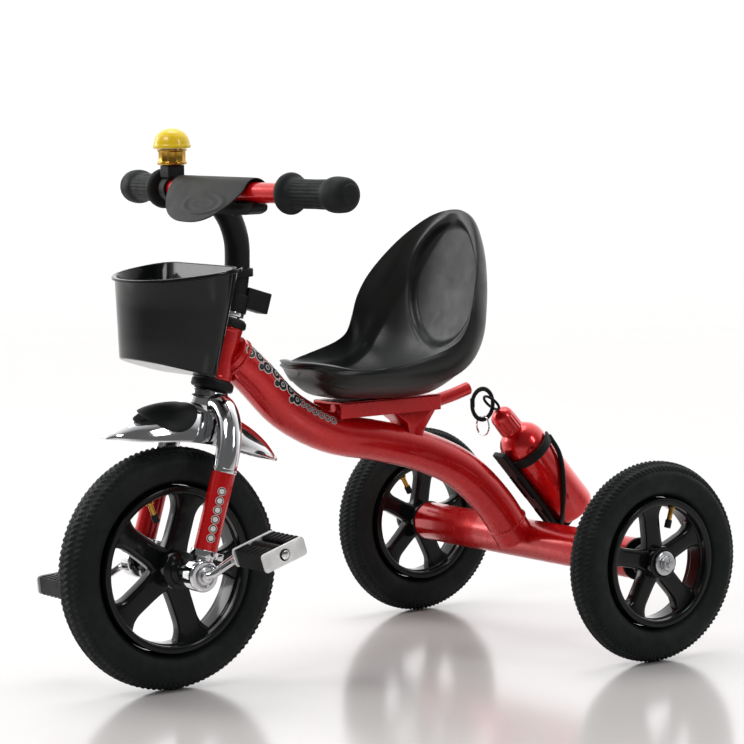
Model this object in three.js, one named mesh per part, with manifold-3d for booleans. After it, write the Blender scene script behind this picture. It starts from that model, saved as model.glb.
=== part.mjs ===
// A children's tricycle as an assembly of separate named pieces.
// Millimetres, +Z up. The rider faces -Y and +X is the rider's left.
// The origin is on the ground under the middle of the tricycle's box.
import * as THREE from 'three';
import { mergeVertices } from 'three/addons/utils/BufferGeometryUtils.js';
import Module from 'manifold-3d';

const wasm = await Module();
wasm.setup();

// ---------------------------------------------------------------- driving dimensions
const GAP = 0.3;                 // clearance between pieces that touch
const WHEELBASE = 561;           // front hub to rear axle
const TRACK = 502;               // rear wheel middle to rear wheel middle
const FRONT = { radius: 150, width: 51, bead: 103, opening: 94, hub: 24, spoke: 15, phase: 0 };
const REAR = { radius: 127.5, width: 43, bead: 82, opening: 73, hub: 21, spoke: 12, phase: 24 };
const FAR_PHASE = 8;             // spoke angle of the right rear wheel
const HEAD_TILT = THREE.MathUtils.degToRad(17.5);
const FRAME_R = 26;              // main S-shaped tube
const TUBE_WALL = 3;
const AXLE_TUBE_R = 26;
const AXLE_TUBE_HALF = 222;
const HEAD_R = 21;
const HEAD_BORE = 17;
const HEAD_LOW = 238;            // along the steering axis from the front hub
const HEAD_HIGH = 304;
const STEERER_R = 14;
const STEERER_BORE = 11.6;
const STEERER_TOP = 347;
const LEG_X = 70;                // fork legs each side of the wheel
const LEG_R = 12.4;
const CRANK = 66;                // pedal crank length
const CRANK_ANGLE = THREE.MathUtils.degToRad(27);
const ROD_R = 5.5;               // crank and pedal pins
const PEDAL = { inner: 102, length: 66, width: 64, height: 25 };
const BAR_R = 12.5;
const BAR_Z = 607;
const BAR_HALF = 236;
const BAR_SWEEP = THREE.MathUtils.degToRad(8);
const COVER_SLOPE = THREE.MathUtils.degToRad(36);
const GRIP_START = 134;
const BOTTLE_R = 32;
const BOTTLE_LOW = -60;          // along the bottle's own axis
const BOTTLE_SHOULDER = 66;
const BOTTLE_TILT = Math.atan2(0.66, 0.75);
const SEAT_WALL = 13;
const SEAT_ROLL = 5;             // how far the rolled edge rises above the seat's face
const WHEEL_SIDES = 28;
const CHANNEL_TOP = 336;          // the seat rests here
const CLIP_Y = -74.5;              // snap clip behind the seat
const CLIP_Z = 313;

// ---------------------------------------------------------------- finishes
const finish = (color, roughness, metalness) =>
  new THREE.MeshStandardMaterial({ color, roughness, metalness });
const RED = finish(0xa8120f, 0.22, 0.35);
const CHROME = finish(0xd8dadd, 0.08, 1);
const BLACK_GLOSS = finish(0x101214, 0.18, 0);
const BLACK_MATT = finish(0x1b1d1e, 0.55, 0);
const RUBBER = finish(0x1d2021, 0.8, 0);
const YELLOW = finish(0xf2cc17, 0.3, 0);
const BRASS = finish(0xc49a3a, 0.25, 1);
const STEEL = finish(0x9da1a5, 0.35, 1);

// ---------------------------------------------------------------- shape helpers
// A closed three.js geometry as a manifold solid with its faces outward.
function solid(geometry) {
  const bare = geometry.clone();
  for (const name of Object.keys(bare.attributes)) {
    if (name !== 'position') bare.deleteAttribute(name);
  }
  const merged = mergeVertices(bare, 1e-3);
  const corners = merged.index.array;
  const kept = [];
  for (let i = 0; i < corners.length; i += 3) {
    const [a, b, c] = [corners[i], corners[i + 1], corners[i + 2]];
    if (a !== b && b !== c && c !== a) kept.push(a, b, c);
  }
  const p = merged.attributes.position.array;
  if (volume(p, kept) < 0) kept.reverse();
  return new wasm.Manifold(new wasm.Mesh({
    numProp: 3,
    vertProperties: new Float32Array(p),
    triVerts: new Uint32Array(kept),
  }));
}

// Signed volume of an indexed triangle mesh.
function volume(p, index) {
  let total = 0;
  for (let i = 0; i < index.length; i += 3) {
    const [a, b, c] = [index[i] * 3, index[i + 1] * 3, index[i + 2] * 3];
    total += p[a] * (p[b + 1] * p[c + 2] - p[b + 2] * p[c + 1])
      + p[a + 1] * (p[b + 2] * p[c] - p[b] * p[c + 2])
      + p[a + 2] * (p[b] * p[c + 1] - p[b + 1] * p[c]);
  }
  return total / 6;
}

// A manifold solid back as a three.js geometry.
function geometryOf(body) {
  const mesh = body.getMesh();
  const geometry = new THREE.BufferGeometry();
  const corners = new Float32Array(mesh.numVert * 3);
  for (let i = 0; i < mesh.numVert; i += 1) {
    for (let k = 0; k < 3; k += 1) corners[i * 3 + k] = mesh.vertProperties[i * mesh.numProp + k];
  }
  geometry.setAttribute('position', new THREE.BufferAttribute(corners, 3));
  geometry.setIndex(new THREE.BufferAttribute(new Uint32Array(mesh.triVerts), 1));
  geometry.computeVertexNormals();
  return geometry;
}

const union = (...parts) => parts.map(solid).reduce((a, b) => a.add(b));
const cut = (body, ...tools) => tools.map(solid).reduce((a, b) => a.subtract(b), body);

// One named piece in a group.
function piece(group, name, shape, material) {
  const geometry = shape.isBufferGeometry ? geometryOf(solid(shape)) : geometryOf(shape);
  const mesh = new THREE.Mesh(geometry, material);
  mesh.name = name;
  group.add(mesh);
  return mesh;
}

// A profile of [radius, height] pairs turned about Z; a ring repeats its first pair at the end.
function turnedZ(profile, sides = 28) {
  const points = profile.map(([r, h]) => new THREE.Vector2(r, h));
  return new THREE.LatheGeometry(points, sides).rotateX(Math.PI / 2);
}

// The same about X, with height along +X.
const turnedX = (profile, sides = 28) => turnedZ(profile, sides).rotateY(Math.PI / 2);

const rod = (radius, low, high) => [[0, low], [radius, low], [radius, high], [0, high]];
const ring = (inner, outer, low, high) =>
  [[inner, low], [outer, low], [outer, high], [inner, high], [inner, low]];

const box = (w, d, h, x = 0, y = 0, z = 0) => new THREE.BoxGeometry(w, d, h).translate(x, y, z);

const circle = (radius, sides) => {
  const shape = new THREE.Shape();
  for (let i = 0; i < sides; i += 1) {
    const a = (i / sides) * 2 * Math.PI;
    if (i === 0) shape.moveTo(radius, 0);
    else shape.lineTo(radius * Math.cos(a), radius * Math.sin(a));
  }
  shape.closePath();
  return shape;
};

// A round tube along a three.js curve.
function along(curve, radius, steps, sides = 16) {
  return new THREE.ExtrudeGeometry(circle(radius, sides), { steps, extrudePath: curve });
}

const vector = ([x, y, z]) => new THREE.Vector3(x, y, z);
const smooth = (points) => new THREE.CatmullRomCurve3(points.map(vector), false, 'centripetal');

// Straight round rods between corners, with a ball at each elbow.
function bentRod(corners, radius) {
  const p = corners.map(vector);
  const parts = p.slice(1).map((end, i) => along(new THREE.LineCurve3(p[i], end), radius, 1, 10));
  const balls = p.slice(1, -1).map((at) => new THREE.IcosahedronGeometry(radius * 1.02, 1)
    .translate(at.x, at.y, at.z));
  return union(...parts, ...balls);
}

// Turns a drawn shape so that its X is +Y, its Y is +Z and its depth is +X.
const SHAPE_TO_YZ = new THREE.Matrix4().makeBasis(
  new THREE.Vector3(0, 1, 0), new THREE.Vector3(0, 0, 1), new THREE.Vector3(1, 0, 0));

// A curved panel with thickness: place(u, v, w) gives a point, w is 0 inside and 1 outside.
function panel(place, acrossSteps, alongSteps) {
  const grid = new THREE.BoxGeometry(1, 1, 1, acrossSteps, alongSteps, 1);
  const p = grid.attributes.position;
  for (let i = 0; i < p.count; i += 1) {
    const point = place(p.getY(i) + 0.5, p.getX(i) * 2, p.getZ(i) + 0.5);
    p.setXYZ(i, point.x, point.y, point.z);
  }
  return grid;
}

// A point of surface(u, v) moved along its normal by a depth.
function offset(surface, u, v, depth) {
  const step = 1e-3;
  const clamp = (t, low) => Math.min(1 - step, Math.max(low + step, t));
  const [cu, cv] = [clamp(u, 0), clamp(v, -1)];
  const du = surface(cu + step, cv).sub(surface(cu - step, cv));
  const dv = surface(cu, cv + step).sub(surface(cu, cv - step));
  return surface(u, v).addScaledVector(dv.cross(du).normalize(), depth);
}

// Smooth values between evenly spaced rows of numbers.
function rows(table) {
  const curves = table[0].map((_, k) => table.map((row) => row[k]));
  return (t) => {
    const at = Math.min(Math.max(t, 0), 1) * (table.length - 1);
    const i = Math.min(Math.floor(at), table.length - 2);
    const f = at - i;
    return curves.map((c) => {
      const [a, b, d, e] = [c[Math.max(i - 1, 0)], c[i], c[i + 1], c[Math.min(i + 2, c.length - 1)]];
      return b + 0.5 * f * (d - a + f * (2 * a - 5 * b + 4 * d - e + f * (3 * (b - d) + e - a)));
    });
  };
}

// ---------------------------------------------------------------- groups
const tricycle = new THREE.Group();
const trike = new THREE.Group();           // rear axle line at y = 0
trike.position.y = (WHEELBASE + FRONT.radius - REAR.radius) / 2;
tricycle.add(trike);
const front = new THREE.Group();           // front hub at its origin, upright
front.position.set(0, -WHEELBASE, FRONT.radius);
trike.add(front);
const head = new THREE.Group();            // its Z is the steering axis, from the front hub
head.rotation.x = -HEAD_TILT;
front.add(head);

// ---------------------------------------------------------------- wheels
const tyreProfile = (w) => {
  const h = w.width / 2;
  const wall = w.radius - w.bead;
  return [
    [w.bead, -0.7 * h], [w.bead + 0.45 * wall, -h], [w.bead + 0.8 * wall, -0.84 * h],
    [w.radius - 0.07 * wall, -0.5 * h], [w.radius, -0.16 * h], [w.radius, 0.16 * h],
    [w.radius - 0.07 * wall, 0.5 * h], [w.bead + 0.8 * wall, 0.84 * h],
    [w.bead + 0.45 * wall, h], [w.bead, 0.7 * h], [w.bead, -0.7 * h],
  ];
};

// One spoke in the YZ plane pointing to +Y, flared at the hub and at the rim.
function spokeShape(w) {
  const shape = new THREE.Shape();
  const [start, end] = [w.hub * 0.6, w.opening + 3];
  const waist = w.spoke * 0.85;
  const mouth = w.spoke * 2.1;
  shape.moveTo(start, -w.spoke);
  shape.quadraticCurveTo(w.hub * 1.8, -waist, end * 0.62, -waist);
  shape.quadraticCurveTo(end * 0.88, -waist, end, -mouth);
  shape.lineTo(end, mouth);
  shape.quadraticCurveTo(end * 0.88, waist, end * 0.62, waist);
  shape.quadraticCurveTo(w.hub * 1.8, waist, start, w.spoke);
  shape.closePath();
  return shape;
}

function wheelCentre(w, hubProfile, bore, phase) {
  const half = w.width * 0.43;
  const rim = solid(turnedX(ring(w.opening, w.bead - GAP, -half, half), WHEEL_SIDES));
  const thickness = w.width * 0.36;
  const spokes = [];
  for (let i = 0; i < 5; i += 1) {
    const geometry = new THREE.ExtrudeGeometry(spokeShape(w),
      { depth: thickness, bevelEnabled: false, curveSegments: 3 });
    geometry.translate(0, 0, -thickness / 2);
    geometry.applyMatrix4(SHAPE_TO_YZ);
    geometry.rotateX(THREE.MathUtils.degToRad(phase + i * 72));
    spokes.push(geometry);
  }
  const hub = turnedX(hubProfile, 18);
  const body = [...spokes, hub].map(solid).reduce((a, b) => a.add(b), rim);
  return cut(body, turnedX(rod(bore, -90, 90), 14));
}

// The valve stands inward from the rim at an angle measured from +Y towards +Z.
function valve(group, name, w, angle) {
  const stem = turnedZ([[0, 0], [3.2, 0], [3.2, 17], [4.3, 17], [4.3, 27], [0, 28]], 12);
  const holder = new THREE.Group();
  holder.rotation.x = THREE.MathUtils.degToRad(angle) + Math.PI / 2;
  holder.position.set(w.width * 0.3, 0, 0);
  group.add(holder);
  const flat = w.opening * Math.cos(Math.PI / WHEEL_SIDES);
  piece(holder, `${name}_valve`, stem, BRASS).position.z = GAP - flat;
}

function rearWheel(side, name, phase, valveAngle) {
  const wheel = new THREE.Group();
  wheel.position.set(side * TRACK / 2, 0, REAR.radius);
  trike.add(wheel);
  const hubHalf = 25;
  piece(wheel, `${name}_tyre`, turnedX(tyreProfile(REAR), WHEEL_SIDES), RUBBER);
  const hub = rod(REAR.hub, 4 - hubHalf, hubHalf - 4);
  piece(wheel, `${name}_wheel`, wheelCentre(REAR, hub, 11, phase), BLACK_GLOSS);
  valve(wheel, name, REAR, valveAngle);
  const bush = turnedX([
    [5.3, 9 - hubHalf], [10.6, 9 - hubHalf], [10.6, hubHalf - 4 + GAP],
    [15.5, hubHalf - 4 + GAP], [15.5, hubHalf], [5.3, hubHalf], [5.3, 9 - hubHalf],
  ], 14);
  if (side < 0) bush.rotateY(Math.PI);
  piece(wheel, `${name}_bush`, bush, STEEL);
}

function axleNut(side, name) {
  const nut = turnedZ(rod(10.4, 0, 8), 6).rotateY(Math.PI / 2 * side);
  const base = TRACK / 2 + 25 + GAP;
  nut.translate(side * base, 0, REAR.radius);
  const bore = turnedX(rod(5.3, -400, 400), 14).translate(0, 0, REAR.radius);
  piece(trike, `${name}_axle_nut`, cut(solid(nut), bore), STEEL);
}

// ---------------------------------------------------------------- frame
const tubePath = smooth([
  [0, -466, 407], [0, -438, 383], [0, -382, 329], [0, -320, 297], [0, -245, 280],
  [0, -172, 259], [0, -112, 230], [0, -58, 181], [0, -14, 118],
]);

function atHead(geometry) {
  return geometry.rotateX(-HEAD_TILT).translate(0, -WHEELBASE, FRONT.radius);
}

function frame() {
  const headSpace = atHead(turnedZ(rod(HEAD_R + GAP, HEAD_LOW - 30, HEAD_HIGH + 40), 24));
  const axleSpace = turnedX(rod(AXLE_TUBE_R + GAP, -120, 120), 24).translate(0, 0, REAR.radius);
  const hollow = along(tubePath, FRAME_R - TUBE_WALL, 20, 16);
  const tube = cut(solid(along(tubePath, FRAME_R, 20, 16)), hollow, headSpace, axleSpace);
  const pieces = tube.decompose().sort((a, b) => volumeOf(b) - volumeOf(a));
  piece(trike, 'main_tube', pieces[0], RED);
  piece(head, 'head_tube', turnedZ(ring(HEAD_BORE, HEAD_R, HEAD_LOW, HEAD_HIGH), 24), RED);
  const axleTube = turnedX(ring(AXLE_TUBE_R - TUBE_WALL, AXLE_TUBE_R, -AXLE_TUBE_HALF, AXLE_TUBE_HALF), 24)
    .translate(0, 0, REAR.radius);
  piece(trike, 'axle_tube', axleTube, RED);
}

const volumeOf = (body) => {
  const mesh = body.getMesh();
  return volume(mesh.vertProperties, mesh.triVerts);
};

// A stepped plug that closes one end of the axle tube and carries the axle.
function axlePlug(side, name) {
  const plug = turnedX([
    [5.3, AXLE_TUBE_HALF - 24], [AXLE_TUBE_R - 3.3, AXLE_TUBE_HALF - 24],
    [AXLE_TUBE_R - 3.3, AXLE_TUBE_HALF + GAP], [AXLE_TUBE_R + 1.5, AXLE_TUBE_HALF + GAP],
    [AXLE_TUBE_R, AXLE_TUBE_HALF + 3.6], [5.3, AXLE_TUBE_HALF + 3.6],
    [5.3, AXLE_TUBE_HALF - 24],
  ], 20);
  if (side < 0) plug.rotateY(Math.PI);
  plug.translate(0, 0, REAR.radius);
  piece(trike, `${name}_axle_plug`, plug, BLACK_MATT);
}

function rearAxle() {
  const reach = TRACK / 2 + 25 + 11;
  piece(trike, 'rear_axle', turnedX(rod(5, -reach, reach), 14).translate(0, 0, REAR.radius), STEEL);
}

function headset() {
  const lower = [
    [HEAD_R + 4, HEAD_LOW - 13], [HEAD_R + 5.5, HEAD_LOW - 11], [HEAD_R + 5.5, HEAD_LOW - 2],
    [HEAD_R + 2, HEAD_LOW - GAP], [HEAD_BORE + 2.5, HEAD_LOW - GAP], [HEAD_BORE + 2.5, HEAD_LOW - 9],
    [STEERER_R + 0.6, HEAD_LOW - 9], [STEERER_R + 0.6, HEAD_LOW - 13], [HEAD_R + 4, HEAD_LOW - 13],
  ];
  piece(head, 'lower_headset_cup', turnedZ(lower, 18), BLACK_MATT);
  const upper = [
    [STEERER_R + 0.6, HEAD_HIGH + 12], [STEERER_R + 0.6, HEAD_HIGH + 8],
    [HEAD_BORE + 2.5, HEAD_HIGH + 8], [HEAD_BORE + 2.5, HEAD_HIGH + GAP],
    [HEAD_R + 2, HEAD_HIGH + GAP], [HEAD_R + 3.5, HEAD_HIGH + 3], [HEAD_R + 3, HEAD_HIGH + 9],
    [HEAD_R - 1, HEAD_HIGH + 12], [STEERER_R + 0.6, HEAD_HIGH + 12],
  ];
  piece(head, 'upper_headset_cup', turnedZ(upper, 18), BLACK_MATT);
  const balls = ring(STEERER_R + GAP, HEAD_BORE + 2.2, 0, 6);
  piece(head, 'lower_bearing', turnedZ(balls, 18), STEEL).position.z = HEAD_LOW - 8.6;
  piece(head, 'upper_bearing', turnedZ(balls, 18), STEEL).position.z = HEAD_HIGH + 1.6;
}

// ---------------------------------------------------------------- fork
function fork() {
  const crown = [
    [STEERER_BORE, 196], [24, 196], [26, 204], [25, 218], [21, HEAD_LOW - 13 - GAP],
    [STEERER_R, HEAD_LOW - 13 - GAP], [STEERER_R, STEERER_TOP], [STEERER_BORE, STEERER_TOP],
    [STEERER_BORE, 196],
  ];
  piece(head, 'fork_crown', turnedZ(crown, 22), CHROME);
  for (const [side, name] of [[1, 'left'], [-1, 'right']]) forkLeg(side, name);
}

const legArch = (side, radius) => along(smooth([
  [side * 15, 0, 206], [side * 34, 0, 205], [side * 52, 0, 192], [side * 64, 0, 170],
  [side * LEG_X, 0, 136],
]), radius, 6, 12);

function forkLeg(side, name) {
  const upper = legArch(side, 15);
  const lower = turnedZ(rod(LEG_R, 8, 150), 14).translate(side * LEG_X, 0, 0);
  const housing = turnedX(rod(20, 61, 83), 18);
  if (side < 0) housing.rotateY(Math.PI);
  const crownSpace = turnedZ(rod(26.5, 180, 240), 22);
  const axleSpace = turnedX(rod(8.5, -100, 100), 12);
  const leg = cut(union(upper, lower, housing), crownSpace, axleSpace);
  piece(head, `${name}_fork_leg`, leg, CHROME);
  const sleeve = turnedZ(ring(LEG_R + GAP, 14.4, 30, 131), 18).translate(side * LEG_X, 0, 0);
  piece(head, `${name}_fork_sleeve`, sleeve, RED);
}

// The fender is an arched shell that follows the front tyre and comes to a rounded beak.
function fenderSurface(u, v) {
  const [angle, crest, half, drop] = fenderRows(u);
  const turn = THREE.MathUtils.degToRad(angle);
  const across = Math.sin((v * Math.PI) / 2);
  const radius = crest - drop * (1 - Math.cos((v * Math.PI) / 2));
  return new THREE.Vector3(half * across, radius * Math.sin(turn), radius * Math.cos(turn));
}
// angle back from straight up, crest radius, half width, skirt depth
const fenderRows = rows([
  [-27.5, 189, 6, 2], [-24, 193, 24, 12], [-18, 197, 35, 26], [-8, 200, 40, 38],
  [3, 202, 41, 44], [14, 203, 41, 46], [25, 204, 40, 43], [35, 204, 37, 36],
  [44, 203, 30, 24], [50, 201, 20, 12], [53.5, 200, 5, 2],
]);

function fender() {
  const crownSpace = turnedZ(rod(26.8, 150, 240), 18).rotateX(-HEAD_TILT);
  const legSpaces = [1, -1].map((side) => legArch(side, 16.5).rotateX(-HEAD_TILT));
  piece(front, 'fender', cut(solid(fenderShell(-1.8, 0)), crownSpace, ...legSpaces), CHROME);
  const pad = cut(solid(fenderPad()), fenderShell(-3, GAP), crownSpace, ...legSpaces);
  piece(front, 'fender_pad', pad, BLACK_MATT);
}

const fenderShell = (inner, outer) =>
  panel((u, v, w) => offset(fenderSurface, u, v, inner + w * (outer - inner)), 8, 14);

// An oval pad lying over the fender's crest.
function fenderPad() {
  const [middle, reach, half] = [0.36, 0.11, 0.6];
  return panel((u, v, w) => {
    const round = Math.sqrt(Math.max(0, 1 - v * v));
    const su = middle + reach * (u * 2 - 1) * (0.12 + 0.88 * round);
    const bulge = 4 + 6 * round * Math.sqrt(Math.max(0, 1 - (2 * u - 1) ** 2));
    return offset(fenderSurface, su, v * half, w * bulge - 1);
  }, 6, 8);
}

// ---------------------------------------------------------------- front wheel, cranks and pedals
function frontWheel() {
  const halfHub = [[17, 33], [11, 36], [11, 57.2], [0, 57.2]];
  const hub = [...halfHub.map(([r, h]) => [r, -h]).reverse(), [FRONT.hub, -30], [FRONT.hub, 30],
    ...halfHub];
  piece(front, 'front_tyre', turnedX(tyreProfile(FRONT), WHEEL_SIDES), RUBBER);
  piece(front, 'front_wheel', wheelCentre(FRONT, hub, ROD_R + GAP, FRONT.phase), BLACK_GLOSS);
  valve(front, 'front', FRONT, 112);
  for (const [side, name] of [[1, 'left'], [-1, 'right']]) {
    const bush = turnedX([
      [ROD_R + GAP, 61.5], [8.2, 61.5], [8.2, 83 + GAP], [15, 83 + GAP], [15, 85.4],
      [ROD_R + GAP, 85.4], [ROD_R + GAP, 61.5],
    ], 16);
    if (side < 0) bush.rotateY(Math.PI);
    piece(front, `${name}_fork_bush`, bush, STEEL);
  }
  cranks();
}

// One bent steel rod is the front axle, both cranks and both pedal pins.
function cranks() {
  const [cy, cz] = [CRANK * Math.cos(CRANK_ANGLE), CRANK * Math.sin(CRANK_ANGLE)];
  const end = PEDAL.inner + PEDAL.length + 3;
  const elbow = PEDAL.inner - 7.5;
  const corners = [[-end, -cy, -cz], [-elbow, -cy, -cz], [-91, 0, 0], [91, 0, 0],
    [elbow, cy, cz], [end, cy, cz]];
  piece(front, 'crank_axle', bentRod(corners, ROD_R), CHROME);
  for (const [side, name] of [[1, 'left'], [-1, 'right']]) {
    const pedal = new THREE.Group();
    pedal.position.set(side * (PEDAL.inner + PEDAL.length / 2), side * cy, side * cz);
    pedal.rotation.x = THREE.MathUtils.degToRad(side > 0 ? 17 : 4);
    front.add(pedal);
    pedalPieces(pedal, name);
  }
}

// A steel spool, a sleeve with two end plates, turns on the pin and carries a moulded block.
function pedalPieces(group, name) {
  const half = PEDAL.length / 2;
  const plate = 3;
  const sleeve = ROD_R + 2.4;
  const spool = union(turnedX(rod(sleeve, -half, half), 16),
    box(plate, PEDAL.width, PEDAL.height, half - plate / 2),
    box(plate, PEDAL.width, PEDAL.height, plate / 2 - half));
  const pin = turnedX(rod(ROD_R + 0.5, -half - 9, half + 9), 16);
  piece(group, `${name}_pedal_spool`, cut(spool, pin), STEEL);
  const block = new THREE.Shape();
  const [w, h] = [PEDAL.width / 2 - 1, PEDAL.height / 2 - 1];
  block.moveTo(6 - w, -h).lineTo(w - 6, -h).quadraticCurveTo(w, -h, w, 0);
  block.quadraticCurveTo(w, h, w - 6, h).lineTo(6 - w, h).quadraticCurveTo(-w, h, -w, 0);
  block.quadraticCurveTo(-w, -h, 6 - w, -h);
  const depth = PEDAL.length - 2 * (plate + GAP);
  const body = new THREE.ExtrudeGeometry(block, { depth, bevelEnabled: false, curveSegments: 4 });
  body.translate(0, 0, -depth / 2).applyMatrix4(SHAPE_TO_YZ);
  const sleeveSpace = turnedX(rod(sleeve + GAP, -half, half), 16);
  piece(group, `${name}_pedal_block`, cut(solid(body), sleeveSpace), BLACK_MATT);
}

// ---------------------------------------------------------------- stem, handlebar, grips, cover
function stem() {
  const bend = [[0, -455.6, 485.5], [0, -453, 498], [0, -451, 522], [0, -452, 547], [0, -459, 569],
    [0, -470, 586]];
  const tube = along(smooth(bend), 15.5, 8, 16);
  const quill = atHead(turnedZ(rod(11.2, 268, 356), 16));
  const barSpace = turnedX(rod(BAR_R + GAP, -60, 60), 24).translate(0, -477.3, BAR_Z);
  piece(trike, 'stem', cut(union(tube, quill), barSpace), BLACK_MATT);
}

function clampBlock() {
  const collar = union(turnedZ(rod(20, 324, 346), 20), box(24, 40, 26, 0, 28, 345));
  const bore = turnedZ(rod(STEERER_R + GAP, 300, 360), 18);
  const stemSpace = turnedZ(rod(18, STEERER_TOP + GAP, 370), 18);
  piece(head, 'stem_clamp', cut(collar, bore, stemSpace), BLACK_MATT);
}

// Straight ends swept back under the grips, joined by one shallow bend.
const barEnd = (x, side) => {
  const bendEnd = [110, -469.5];
  return [side * x, bendEnd[1] + (x - bendEnd[0]) * Math.tan(BAR_SWEEP), BAR_Z];
};
function handlebar() {
  const path = new THREE.CurvePath();
  const control = [0, -469.5 - 110 * Math.tan(BAR_SWEEP), BAR_Z];
  path.add(new THREE.LineCurve3(vector(barEnd(BAR_HALF, -1)), vector(barEnd(110, -1))));
  path.add(new THREE.QuadraticBezierCurve3(
    vector(barEnd(110, -1)), vector(control), vector(barEnd(110, 1))));
  path.add(new THREE.LineCurve3(vector(barEnd(110, 1)), vector(barEnd(BAR_HALF, 1))));
  const bore = along(path, BAR_R - TUBE_WALL, 12, 12);
  piece(trike, 'handlebar', cut(solid(along(path, BAR_R, 12, 16)), bore), RED);
  for (const [side, name] of [[1, 'left'], [-1, 'right']]) grip(side, name);
}

function grip(side, name) {
  const length = (BAR_HALF - GRIP_START) / Math.cos(BAR_SWEEP);
  const bore = BAR_R + GAP;
  const profile = [
    [bore, 0], [20, 0], [25, 5], [25.5, 10], [23, 15], [18.4, 19], [17.8, 50], [18.4, 78],
    [21.4, 86], [21.8, 94], [21, length + 4], [17, length + 9], [8, length + 11],
    [0, length + 11], [0, length + 1], [bore, length + 1], [bore, 0],
  ];
  const geometry = turnedX(profile, 16);
  if (side < 0) geometry.rotateY(Math.PI);
  geometry.rotateZ(side * BAR_SWEEP);
  geometry.translate(...barEnd(GRIP_START, side));
  piece(trike, `${name}_grip`, geometry, RUBBER);
}

// A moulded cover wraps the bar's top and runs down in front as a rounded sloping tongue.
function barCover() {
  const [low, high] = [-90, 80];
  const wrap = solid(barMiddle(BAR_R + 6.2)).subtract(solid(barMiddle(BAR_R + 0.6)));
  const below = box(260, 80, 60, 0, -470, BAR_Z - 36);
  const ends = [box(60, 80, 80, low - 30, -470, BAR_Z), box(60, 80, 80, high + 30, -470, BAR_Z)];
  const tongue = new THREE.Shape();
  tongue.moveTo(low, 5).lineTo(low, -8);
  tongue.bezierCurveTo(low, -30, -38, -52, -4, -52);
  tongue.bezierCurveTo(32, -52, 66, -26, high, -6);
  tongue.lineTo(high, 5).closePath();
  const sheet = new THREE.ExtrudeGeometry(tongue, { depth: 3.4, bevelEnabled: false, curveSegments: 5 });
  sheet.rotateX(Math.PI / 2 - COVER_SLOPE).translate(0, -488.5, BAR_Z + 1);
  const shell = cut(wrap, below, ...ends).add(solid(sheet));
  piece(trike, 'bar_cover', cut(shell, barMiddle(BAR_R + 0.6)), BLACK_MATT);
}

// The bar's shallow middle bend with a given radius.
function barMiddle(radius) {
  const curve = new THREE.QuadraticBezierCurve3(vector(barEnd(110, -1)),
    new THREE.Vector3(0, -469.5 - 110 * Math.tan(BAR_SWEEP), BAR_Z), vector(barEnd(110, 1)));
  return along(curve, radius, 8, 18);
}

function barClamp() {
  const arc = -477;
  const block = new THREE.Shape();
  block.moveTo(-86, 0).lineTo(86, 0).quadraticCurveTo(94, -1, 92, -7);
  block.quadraticCurveTo(88, -14, 76, -14).lineTo(-76, -14).quadraticCurveTo(-88, -14, -92, -7);
  block.quadraticCurveTo(-94, -1, -86, 0);
  const body = new THREE.ExtrudeGeometry(block, { depth: 24, bevelEnabled: false, curveSegments: 5 });
  body.rotateX(Math.PI / 2).translate(0, arc + 14, BAR_Z - 11);
  const barSpace = barMiddle(BAR_R + GAP);
  const stemSpace = along(smooth([[0, -451, 522], [0, -452, 547], [0, -459, 569], [0, -476, 594],
    [0, -486, 606]]), 16, 10, 18);
  piece(trike, 'bar_clamp', cut(solid(body), barSpace, stemSpace), BLACK_MATT);
}

// ---------------------------------------------------------------- bell
function bell() {
  const x = -118;
  const [, y] = barEnd(118, 1);
  const strap = union(
    turnedX(ring(BAR_R + GAP, 16.4, -8, 8), 18).rotateZ(-BAR_SWEEP),
    box(22, 24, 16, 0, 0, 22));
  const barSpace = turnedX(rod(BAR_R + GAP, -20, 20), 18).rotateZ(-BAR_SWEEP);
  const bracket = piece(trike, 'bell_bracket', cut(strap, barSpace), BLACK_MATT);
  bracket.position.set(x, y, BAR_Z);
  const base = turnedZ([
    [0, 30 + GAP], [17, 30 + GAP], [18.8, 32], [18.8, 50], [0, 50],
  ], 20);
  piece(trike, 'bell_base', base, BRASS).position.set(x, y, BAR_Z);
  const dome = turnedZ([
    [0, 50.6], [23, 50.6], [24.2, 53], [23.4, 60], [20, 67], [14, 72], [7, 75], [0, 76],
  ], 22);
  piece(trike, 'bell_dome', dome, YELLOW).position.set(x, y, BAR_Z);
}

// ---------------------------------------------------------------- basket
// Half of the basket's outline seen from above: flat at the back, a half ellipse in front.
function basketOutline() {
  const shape = new THREE.Shape();
  shape.moveTo(0.88, 0);
  shape.quadraticCurveTo(1, 0, 1, 0.1);
  shape.bezierCurveTo(1, 0.62, 0.6, 1, 0, 1);
  shape.bezierCurveTo(-0.6, 1, -1, 0.62, -1, 0.1);
  shape.quadraticCurveTo(-1, 0, -0.88, 0);
  shape.closePath();
  return shape;
}

// The unit outline drawn out to the tapered, tilted bucket; height 0 is the floor, 1 the rim.
function basketLoft(shrink, low, high, steps) {
  const geometry = new THREE.ExtrudeGeometry(basketOutline(),
    { depth: high - low, steps, bevelEnabled: false, curveSegments: 5 });
  const p = geometry.attributes.position;
  const mix = THREE.MathUtils.lerp;
  for (let i = 0; i < p.count; i += 1) {
    const t = p.getZ(i) + low;
    const b = p.getY(i);
    const half = mix(72, 90, t) - shrink;
    const back = mix(-523, -497, t) - shrink;
    const deep = mix(86, 113, t) - 2 * shrink;
    const y = back - deep * b;
    const z = mix(mix(384, 410, b), mix(519, 506, b), t);
    p.setXYZ(i, p.getX(i) * half, y, z);
  }
  return geometry;
}

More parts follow.
